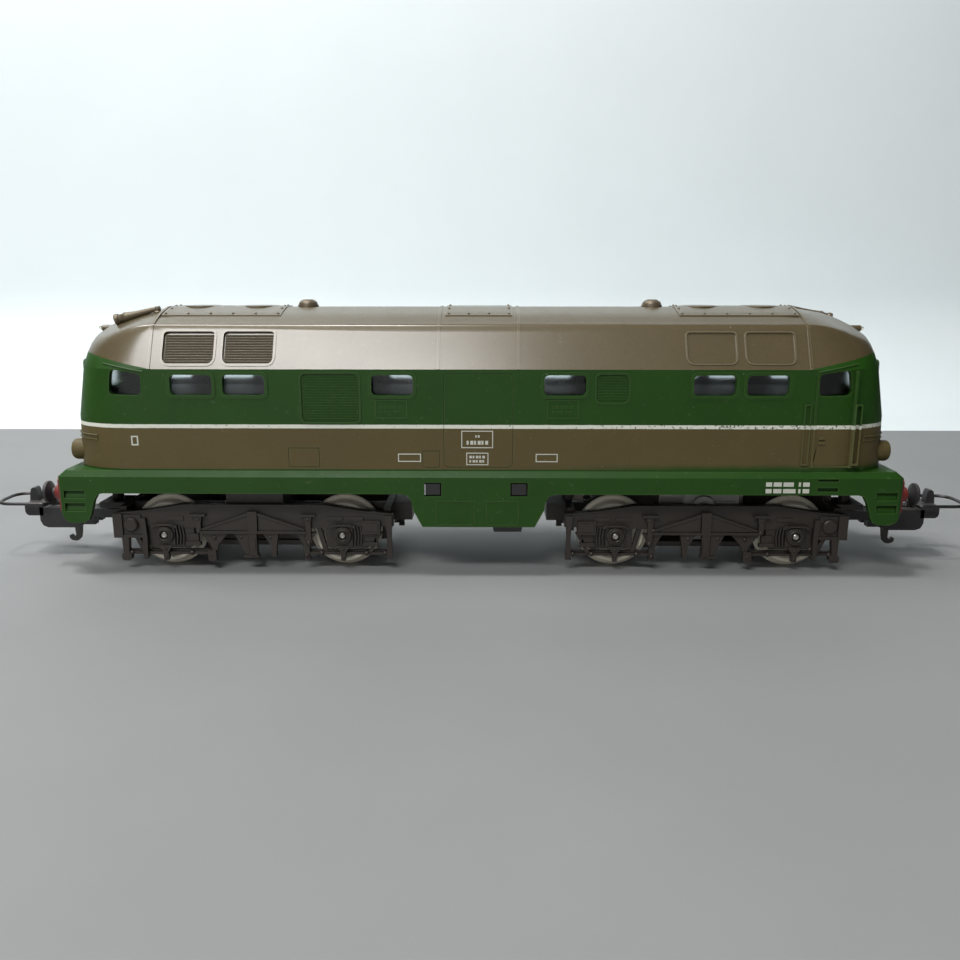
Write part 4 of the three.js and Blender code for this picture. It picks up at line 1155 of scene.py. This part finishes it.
def buffer(name, node, end, side):
    """A turned buffer with a slightly crowned head."""
    face = BUFFER_FACE_X
    profile = [(0, 78.7), (0.85, 78.7), (0.85, face - 1.5), (1.1, face - 1.35), (1.45, face - 1.0),
               (1.95, face - 0.86), (2.12, face - 0.7), (2.15, face - 0.35), (2.05, face - 0.16),
               (1.6, face - 0.06), (0.8, face - 0.01), (0, face)]
    shape = Shape(mirrored(end))
    shape.turned("x", (side * BUFFER_Y, BUFFER_Z), profile, 40)
    piece(name, shape, "body", node, "black_plastic")


# ---------- couplers ----------
COUPLER_PIN_X = 72.5
LEVER_PIN = (80.0, 7.3)


def coupler_head(name, end):
    """Draw arm, box and hooked head, with the slot for the loop's lever."""
    shape = Shape(mirrored(end))
    cheeks = ((-3.0, -0.75), (0.75, 3.0))
    box_profile = [(80.8, 10.0), (80.8, 6.4), (81.3, 5.8), (87.6, 5.8), (88.6, 6.2), (89.1, 7.2),
                   (89.1, 10.0)]
    for y in cheeks:
        shape.prism("y", box_profile, y)
        narrow = (max(y[0], -2.2), min(y[1], 2.2))
        shape.box((78.6, 82.0), narrow, (7.7, 9.5))
        shape.box((78.2, 81.5), (max(y[0], -2.4), min(y[1], 2.4)), (6.3, 8.0))
    shape.box((70.9, 79.2), (-2.2, 2.2), (7.7, 9.5))
    shape.prism("y", [(88.2, 6.6), (88.6, 6.2), (89.1, 7.2), (89.1, 10.0), (88.2, 10.0)], (-0.9, 0.9))
    head = [(88.3, 8.3), (91.3, 8.3), (91.8, 8.6), (92.0, 9.2), (92.0, 10.4), (91.6, 10.9), (88.3, 10.9)]
    shape.prism("y", head, (-3.0, 3.0))
    post = [(90.0, 10.6), (91.9, 10.6), (91.75, 12.0), (91.5, 13.3), (91.1, 13.6), (90.6, 13.6),
            (90.3, 13.2), (90.1, 12.0)]
    shape.prism("y", post, (-0.9, 0.9))
    for y in (-2.1, 2.1):
        shape.box((83.0, 86.4), (y - 0.35, y + 0.35), (9.8, 10.15))
    for side in SIDES.values():
        shape.dome("y", LEVER_PIN, side * 2.35, 0.5, side * 0.2, 12)
    made = solid(f"draw_head_{name}", shape)
    pin = Shape(mirrored(end))
    pin.turned("z", (COUPLER_PIN_X, 0), [(0, 5), (1.1, 5), (1.1, 11), (0, 11)], 20)
    combine(made, "DIFFERENCE", pin)
    finished(made, f"coupler_{name}", [f"coupler_head_{name}"], "black_plastic",
             [MATERIALS["black_plastic"]], bevel=0.09)


def coupler_loop(name, end):
    """Wire loop, its lever with the trip hook, and the pivot pin."""
    shape = Shape(mirrored(end))
    wire = 0.34
    loop_z = 11.1
    tight = 0.9
    wide = 3.2
    half_width = high(f"coupler_loop_{name}").y - wire
    corners = box_outline((87.2, high("coupler_loop_rear").x - wire), (half_width, -half_width))
    path = rounded(corners, (tight, wide, wide, tight), 8)
    shape.tube([(x, y, loop_z) for x, y in path], wire, 10, closed=True)
    lever = [(79.4, 7.9), (79.2, 7.3), (79.5, 6.7), (81.6, 6.4), (82.0, 6.0), (82.25, 3.9), (82.5, 2.8),
             (83.0, 2.3), (83.7, 2.2), (84.4, 2.4), (84.75, 2.8), (84.8, 3.3), (84.5, 3.55), (84.2, 3.45),
             (84.0, 3.15), (83.6, 3.15), (83.4, 3.6), (83.5, 5.2), (83.8, 6.5), (86.2, 7.1), (87.3, 7.8),
             (87.75, 8.9), (87.8, 11.2), (87.5, 11.6), (86.9, 11.6), (86.6, 11.2), (86.4, 9.0),
             (85.6, 8.1)]
    shape.prism("y", lever, (-0.45, 0.45))
    shape.turned("y", LEVER_PIN, [(0, -1.9), (0.5, -1.9), (0.5, 1.9), (0, 1.9)], 16)
    piece(f"wire_loop_{name}", shape, f"loop_{name}", f"coupler_loop_{name}",
          "blackened_wire", bevel=0.07)


# ---------- bogie side frames ----------
def main_beam(shape):
    """The long plate with its arched top, and the plates that hold the axleboxes."""
    outline = [(-26.9, 8.8), (-26.9, 11.3), (-20.5, 11.9), (-13.5, 13.05), (13.5, 13.05), (20.5, 11.9),
               (26.9, 11.3), (26.9, 8.8), (9.8, 8.3), (-9.8, 8.3)]
    shape.prism("y", outline, (10.5, 11.9))
    rim = outline[1:7]
    shape.prism("y", rim + [(u, z - 0.28) for u, z in reversed(rim)], (11.8, 12.1))
    for u in (-HALF_WHEELBASE, HALF_WHEELBASE):
        plate = [(u - 3.3, 4.9), (u - 3.3, 11.2), (u + 5.5, 11.2), (u + 5.5, 5.2), (u + 4.8, 4.4),
                 (u - 2.7, 4.4)]
        shape.prism("y", plate, (10.6, 11.7))


def truss(shape):
    """Raised gussets and rails over the middle of the plate."""
    for way in (-1, 1):
        web = [(way * 1.0, 8.0), (way * 9.6, 8.0), (way * 9.8, 8.35), (way * 1.0, 11.3)]
        shape.prism("y", web, (11.8, 12.5))
        rib = [(way * 1.0, 11.0), (way * 9.8, 8.05), (way * 9.9, 8.4), (way * 1.0, 11.5)]
        shape.prism("y", rib, (12.4, 12.75))
    shape.box((-10.2, 10.2), (11.8, 12.8), (7.45, 7.95))
    shape.prism("y", [(-0.95, 7.4), (0.85, 7.4), (0.95, 11.8), (-0.95, 11.8)], (11.8, 12.9))


def hangers(shape):
    """Links, feet and braces that hang below the truss."""
    shape.prism("y", [(-3.75, 7.5), (-1.0, 7.5), (-1.0, 3.3), (-1.7, 3.3)], (11.3, 12.4))
    shape.box((-0.9, 0.65), (11.5, 12.75), (3.1, 7.5))
    shape.box((-0.6, 0.4), (12.7, 12.88), (4.0, 6.4))
    shape.box((-2.1, 0.9), (11.5, 12.5), (2.6, 3.2))
    link = [(1.8, 7.5), (4.8, 7.5), (4.4, 4.9), (4.2, 2.7), (3.4, 2.7), (3.2, 4.9)]
    shape.prism("y", link, (11.3, 12.4))
    outer_hanger = [(-10.4, 7.5), (-4.8, 7.5), (-6.9, 5.2), (-7.2, 3.9), (-8.1, 3.9), (-8.6, 5.2)]
    shape.prism("y", outer_hanger, (11.2, 12.2))
    shape.box((-9.0, -7.4), (11.4, 12.5), (1.9, 4.0))
    inner_hanger = [(8.1, 7.5), (12.0, 7.5), (10.7, 5.2), (10.6, 2.1), (9.6, 2.1), (9.4, 5.2)]
    shape.prism("y", inner_hanger, (11.2, 12.2))
    bolts = ((-2.4, 6.6), (3.2, 6.6), (-7.6, 6.5), (10.1, 6.5), (-8.2, 3.0), (10.1, 3.0), (-0.1, 2.9))
    for u, z in bolts:
        shape.dome("y", (u, z), 12.15, 0.42, 0.45, 10)


def axlebox(shape, u):
    """Guide, box with its round cover, cap, side plates and the stay below."""
    guide = [(u - 1.9, 4.9), (u - 1.9, 8.9), (u + 1.9, 8.9), (u + 1.9, 4.9), (u + 1.4, 4.5),
             (u - 1.4, 4.5)]
    shape.prism("y", guide, (11.5, 12.2))
    shape.box((u - 1.75, u + 1.75), (12.0, 12.88), (8.95, 9.3))
    for way in (-1, 1):
        hook = [(way * 1.7 + u, 9.3), (way * 2.5 + u, 8.9), (way * 2.5 + u, 8.4), (way * 1.7 + u, 8.7)]
        shape.prism("y", hook, (11.6, 12.6))
    cover = [(0.85, 11.9), (1.75, 11.9), (1.75, 12.5), (1.6, 12.7), (1.3, 12.7), (1.15, 12.88),
             (0.95, 12.88), (0.85, 12.8), (0.85, 11.9)]
    shape.turned("y", (u, AXLE_Z), cover, 28)
    for i in range(6):
        angle = (i + 0.5) * math.pi / 3
        shape.dome("y", (u + 1.47 * math.cos(angle), AXLE_Z + 1.47 * math.sin(angle)), 12.7, 0.13, 0.1, 6)
    for i in range(3):
        foot = u + 2.15 + i * 0.55
        bar = [(foot, 5.0), (foot + 0.3, 5.0), (foot + 0.5, 6.9), (foot + 0.25, 8.8), (foot - 0.05, 8.8),
               (foot + 0.2, 6.9)]
        shape.prism("y", bar, (11.6, 12.4 - i * 0.15))
    shape.box((u + 3.9, u + 6.8), (11.4, 12.3), (4.9, 5.7))
    shape.box((u + 4.2, u + 6.4), (11.3, 12.0), (5.6, 7.2))
    stay = [(u - 1.5, 5.0), (u + 1.5, 5.0), (u + 0.5, 3.7), (u + 0.45, 2.0), (u - 0.45, 2.0),
            (u - 0.5, 3.7)]
    shape.prism("y", stay, (11.3, 12.5))
    shape.dome("y", (u, 4.3), 12.5, 0.32, 0.2, 8)
    shape.dome("y", (u, 2.6), 12.5, 0.26, 0.16, 8)


def tie_bars(shape):
    """Lower bars that tie the feet together, with their bolts."""
    for start, stop in ((-24.6, -7.6), (9.6, 26.2)):
        shape.box((start, stop), (11.0, 12.0), (3.1, 3.6))
        shape.box((start, stop), (10.8, 11.4), (3.5, 3.95))
    for u in (-23.9, -21.3, -12.2, 12.9, 21.6, 25.2):
        shape.dome("y", (u, 3.4), 12.0, 0.5, 0.4, 10)


def end_fittings(shape):
    """Equipment boxes, posts and brake rigging at the two ends of the frame."""
    shape.box((-26.9, -25.1), (11.0, 12.6), (6.5, 11.2))
    shape.box((-25.2, -21.6), (11.0, 12.2), (6.5, 11.0))
    shape.turned("y", (-23.5, 9.1), [(0, 12.0), (1.4, 12.0), (1.4, 12.6), (1.15, 12.85), (0, 12.85)], 24)
    shape.box((-25.4, -21.4), (12.0, 12.5), (6.5, 7.1))
    shape.prism("y", [(-25.5, 6.6), (-24.1, 6.6), (-24.3, 3.4), (-23.9, 3.1), (-23.9, 2.3), (-24.3, 1.9),
                      (-25.5, 1.9), (-25.8, 2.3), (-25.8, 3.1), (-25.4, 3.4)], (11.2, 12.4))
    shape.prism("y", [(-23.2, 6.6), (-22.2, 6.6), (-20.5, 2.6), (-21.4, 2.6)], (11.1, 12.0))
    guide = [(-21.5, 10.4), (-20.6, 10.4), (-20.4, 6.5), (-20.6, 2.4), (-21.3, 2.4), (-21.4, 6.5)]
    shape.prism("y", guide, (11.6, 12.7))
    shape.box((20.9, 24.4), (11.0, 12.7), (7.4, 10.0))
    shape.box((21.3, 24.0), (12.6, 12.88), (8.0, 9.6))
    step_bar = [(25.3, 11.0), (26.7, 11.0), (26.5, 6.6), (26.7, 2.4), (25.5, 2.4), (25.7, 6.6)]
    shape.prism("y", step_bar, (11.2, 12.5))
    shape.prism("y", [(23.9, 7.6), (24.8, 7.6), (22.6, 3.4), (21.8, 3.4)], (11.1, 12.0))
    shape.prism("y", [(12.0, 8.4), (12.9, 8.4), (14.2, 3.4), (13.3, 3.4)], (10.8, 11.6))


def brackets(shape):
    """T-shaped brackets beside the truss, and small plates on the beam."""
    for u, foot in ((-10.5, 7.6), (10.6, 5.3)):
        shape.box((u - 1.5, u + 1.5), (11.8, 12.88), (10.85, 11.25))
        upright = [(u - 0.8, 10.9), (u + 0.8, 10.9), (u + 0.5, 9.6), (u + 0.5, foot),
                   (u - 0.5, foot), (u - 0.5, 9.6)]
        shape.prism("y", upright, (11.7, 12.6))
        shape.dome("y", (u, foot + 0.3), 12.6, 0.5, 0.28, 10)
        shape.dome("y", (u, 10.2), 12.6, 0.35, 0.2, 8)
    for u in (-15.0, 15.6, 19.6):
        shape.box((u - 1.6, u + 1.6), (11.8, 12.1), (9.9, 10.7))


def side_frame(name, node, end, side):
    """One cast-looking side of a bogie, built from its separate members."""
    shape = Shape(on_bogie(end, side))
    main_beam(shape)
    truss(shape)
    hangers(shape)
    for u in (-HALF_WHEELBASE, HALF_WHEELBASE):
        axlebox(shape, u)
    tie_bars(shape)
    end_fittings(shape)
    brackets(shape)
    body = "front_bogie" if end < 0 else "rear_bogie"
    piece(name, shape, body, node, "brown_black_plastic", bevel=0.08, segments=1)


# ---------- wheelsets ----------
def wheel(number, side_name, side):
    """A flanged wheel, turned smooth, with a dished web, a hub and a bright rim."""
    back = abs(low(f"wheel_{number}_far").y)
    front = abs(high(f"wheel_{number}_far").y)
    flange = AXLE_Z - 0.01
    tread = 6.0
    bore = 1.06
    profile = [(bore, back), (4.6, back), (4.9, back + 0.15), (6.6, back + 0.15), (6.95, back + 0.22),
               (flange, back + 0.42), (7.0, back + 0.62), (6.7, back + 0.78), (6.25, back + 0.9),
               (tread + 0.08, back + 1.1), (tread - 0.05, front - 0.2), (tread - 0.25, front),
               (5.15, front), (5.0, front - 0.12), (4.85, front - 0.6), (4.2, front - 0.78),
               (2.5, front - 0.62), (1.95, front - 0.5), (1.8, front - 0.15), (1.65, front - 0.06),
               (bore, front - 0.06), (bore, back)]
    shape = Shape(mirrored(1, side))
    shape.turned("y", (AXLES[number], AXLE_Z), profile, 96)
    piece(f"flanged_wheel_{number}_{side_name}", shape, f"wheelset_{number}",
          f"wheel_{number}_{side_name}", "wheel_metal", sharp=45)


def axle(number):
    """A turned axle with its journals and centred tips."""
    radius = 1.0
    journal = 0.6
    shoulder = 10.2
    tip = high(f"axle_{number}").y
    half = [(radius, 0.0), (radius, shoulder - 0.15), (radius - 0.15, shoulder), (journal, shoulder),
            (journal, tip - 0.2), (journal - 0.2, tip), (0.15, tip), (0.0, tip - 0.12)]
    profile = [(r, -y) for r, y in reversed(half[1:])] + half
    shape = Shape()
    shape.turned("y", (AXLES[number], AXLE_Z), profile, 32)
    piece(f"turned_axle_{number}", shape, f"wheelset_{number}", f"axle_{number}", "plated_steel")


# ---------- motor bogie ----------
def brush_cover():
    """The motor's end plate with its bearing boss, brush caps and ribs."""
    lo = low("brush_cover")
    hi = high("brush_cover")
    boss = (BOGIE_X, middle("motor_armature").z)
    shape = Shape()
    outline = box_outline((lo.x, hi.x), (lo.z, hi.z))
    face = hi.y - 1.6
    shape.prism("y", rounded(outline, 0.7), (face, hi.y))
    for i in range(3):
        z = hi.z - 0.9 - i * 1.5
        shape.box((lo.x + 0.8, hi.x - 0.8), (face - 0.25, face + 0.1), (z, z + 0.35))
    ring = [(1.0, face + 0.3), (2.1, face + 0.3), (2.3, face - 0.25), (2.1, lo.y), (1.2, lo.y),
            (1.0, lo.y + 0.2), (1.0, face + 0.3)]
    shape.turned("y", (boss[0], boss[1] - 0.8), ring, 32)
    for x in (lo.x + 1.2, hi.x - 1.2):
        shape.dome("y", (x, lo.z + 1.2), face, 0.5, -0.3, 10)
    piece("motor_end_plate", shape, "rear_bogie", "brush_cover", "pale_grey_plastic", bevel=0.08)


# ---------- CAD nodes that stay ----------
def dress_cad_nodes():
    """Gives every CAD node that still shows its material, and rounds its edges a little."""
    slots = {part["node"]: part["material_slot"] for part in frame["record"]["subparts"]}
    for name, node in frame["nodes"].items():
        if node.hide_render:
            continue
        node.data.materials.clear()
        node.data.materials.append(MATERIALS[slots[name]])
        weld = node.modifiers.new("weld", "WELD")
        weld.merge_threshold = 0.001 * MM
        modifier = node.modifiers.new("bevel", "BEVEL")
        modifier.width = 0.09 * MM
        modifier.segments = 2
        modifier.limit_method = "ANGLE"
        modifier.angle_limit = math.radians(40)


printed_marks()
for side_name, side in SIDES.items():
    side_glazing(side_name, side)
for end_name, end in ENDS.items():
    windscreen(end_name, end)
    lens(f"top_lamp_{end_name}", f"marker_lens_{end_name}", end, 0, MARKER_Z, 73.75, 0.38)
    roof_cap(end_name, end)
    horn(end_name, end)
    buffer_beam(end_name, end)
    coupler_head(end_name, end)
    coupler_loop(end_name, end)
    for side_name, side in SIDES.items():
        ending = f"{end_name}_{side_name}"
        lens(f"lamp_glass_{ending}", f"headlight_lens_{ending}", end, side * HEADLIGHT_Y, HEADLIGHT_Z,
             76.85, 1.5)
        buffer(f"turned_buffer_{ending}", f"buffer_{ending}", end, side)
        side_frame(f"bogie_side_{ending}", f"side_frame_{ending}", end, side)
for number in AXLES:
    axle(number)
    for side_name, side in SIDES.items():
        wheel(number, side_name, side)
brush_cover()
dress_cad_nodes()


# ---------- studio ----------
FLOOR_REACH = 900
FLOOR_BOTTOM_Z = -20.0
SWEEP_START_Y = 150  # the pale backdrop lies on the floor from here and turns up at its back
SWEEP_R = 50
WALL_Y = 245
WALL_TOP_Z = 400
WALL_END_X = 300


def studio():
    """Floor, backdrop, lights and air."""
    floor_shape = Shape()
    floor_shape.box((-FLOOR_REACH, FLOOR_REACH), (-FLOOR_REACH, SWEEP_START_Y), (FLOOR_BOTTOM_Z, 0.0))
    floor = solid("studio_floor", floor_shape)
    floor.data.transform(Matrix.Scale(MM, 4))
    wall_shape = Shape()
    sweep = [(SWEEP_START_Y, FLOOR_BOTTOM_Z), (SWEEP_START_Y, 0.0)]
    for i in range(25):
        angle = i / 24 * math.pi / 2
        sweep.append((WALL_Y - SWEEP_R * (1 - math.sin(angle)), SWEEP_R * (1 - math.cos(angle))))
    sweep += [(WALL_Y, WALL_TOP_Z), (WALL_Y + 10, WALL_TOP_Z), (WALL_Y + 10, FLOOR_BOTTOM_Z)]
    wall_shape.prism("x", sweep, (-FLOOR_REACH, WALL_END_X))
    wall = solid("studio_wall", wall_shape)
    wall.data.transform(Matrix.Scale(MM, 4))
    wall.data.shade_smooth()
    wall.data.set_sharp_from_angle(angle=math.radians(30))
    floor_tones = ((0.215, 0.22, 0.22), (0.262, 0.267, 0.264))
    wall_tones = ((0.74, 0.80, 0.81), (0.80, 0.86, 0.87))
    for obj, tones in ((floor, floor_tones), (wall, wall_tones)):
        m = Nodes(obj.name)
        m.set(base_color=m.mix(m.noise(0.02, 4), *tones), roughness=0.65)
        obj.data.materials.append(m.material)
    # the name, size in metres, power in watts, place and aim of each light
    for name, size, power, spot, aim in (
        ("overhead", (0.10, 0.08), 1.9, (-0.12, -0.07, 0.75), (0, 0, 0)),
        ("front_left", (0.37, 0.07), 2.3, (-0.175, -0.40, 0.475), (-0.05, -0.01, 0.04)),
        ("low_front", (0.5, 0.12), 0.5, (-0.22, -0.60, 0.10), (0, 0, 0.01)),
        ("wall_wash", (0.5, 0.1), 3.0, (-0.30, 0.03, 0.60), (-0.10, 0.24, 0.25)),
    ):
        light = bpy.data.lights.new(name, "AREA")
        light.shape = "RECTANGLE"
        light.size = size[0]
        light.size_y = size[1]
        light.energy = power
        lamp = bpy.data.objects.new(name, light)
        lamp.location = spot
        lamp.rotation_euler = (Vector(aim) - Vector(spot)).to_track_quat("-Z", "Y").to_euler()
        bpy.context.scene.collection.objects.link(lamp)
    world = bpy.data.worlds.new("studio_air")
    world.use_nodes = True
    world.node_tree.nodes["Background"].inputs[0].default_value = (0.80, 0.86, 0.92, 1)
    world.node_tree.nodes["Background"].inputs[1].default_value = 0.02
    bpy.context.scene.world = world
    bpy.context.scene.view_settings.view_transform = "Standard"


CAMERA_AT = (2.2, -175.8, 55.5)
CAMERA_DOWN = 12.9  # degrees below the horizon
CAMERA_LEFT = 0.69  # degrees turned towards -X
FOCAL_LENGTH = 33.3


def camera():
    optics = bpy.data.cameras.new("camera")
    optics.lens = FOCAL_LENGTH
    optics.sensor_width = 36
    optics.clip_start = 0.01
    eye = bpy.data.objects.new("camera", optics)
    eye.location = Vector(CAMERA_AT) * MM
    eye.rotation_euler = (math.radians(90 - CAMERA_DOWN), 0, math.radians(CAMERA_LEFT))
    bpy.context.scene.collection.objects.link(eye)
    bpy.context.scene.camera = eye


studio()
camera()
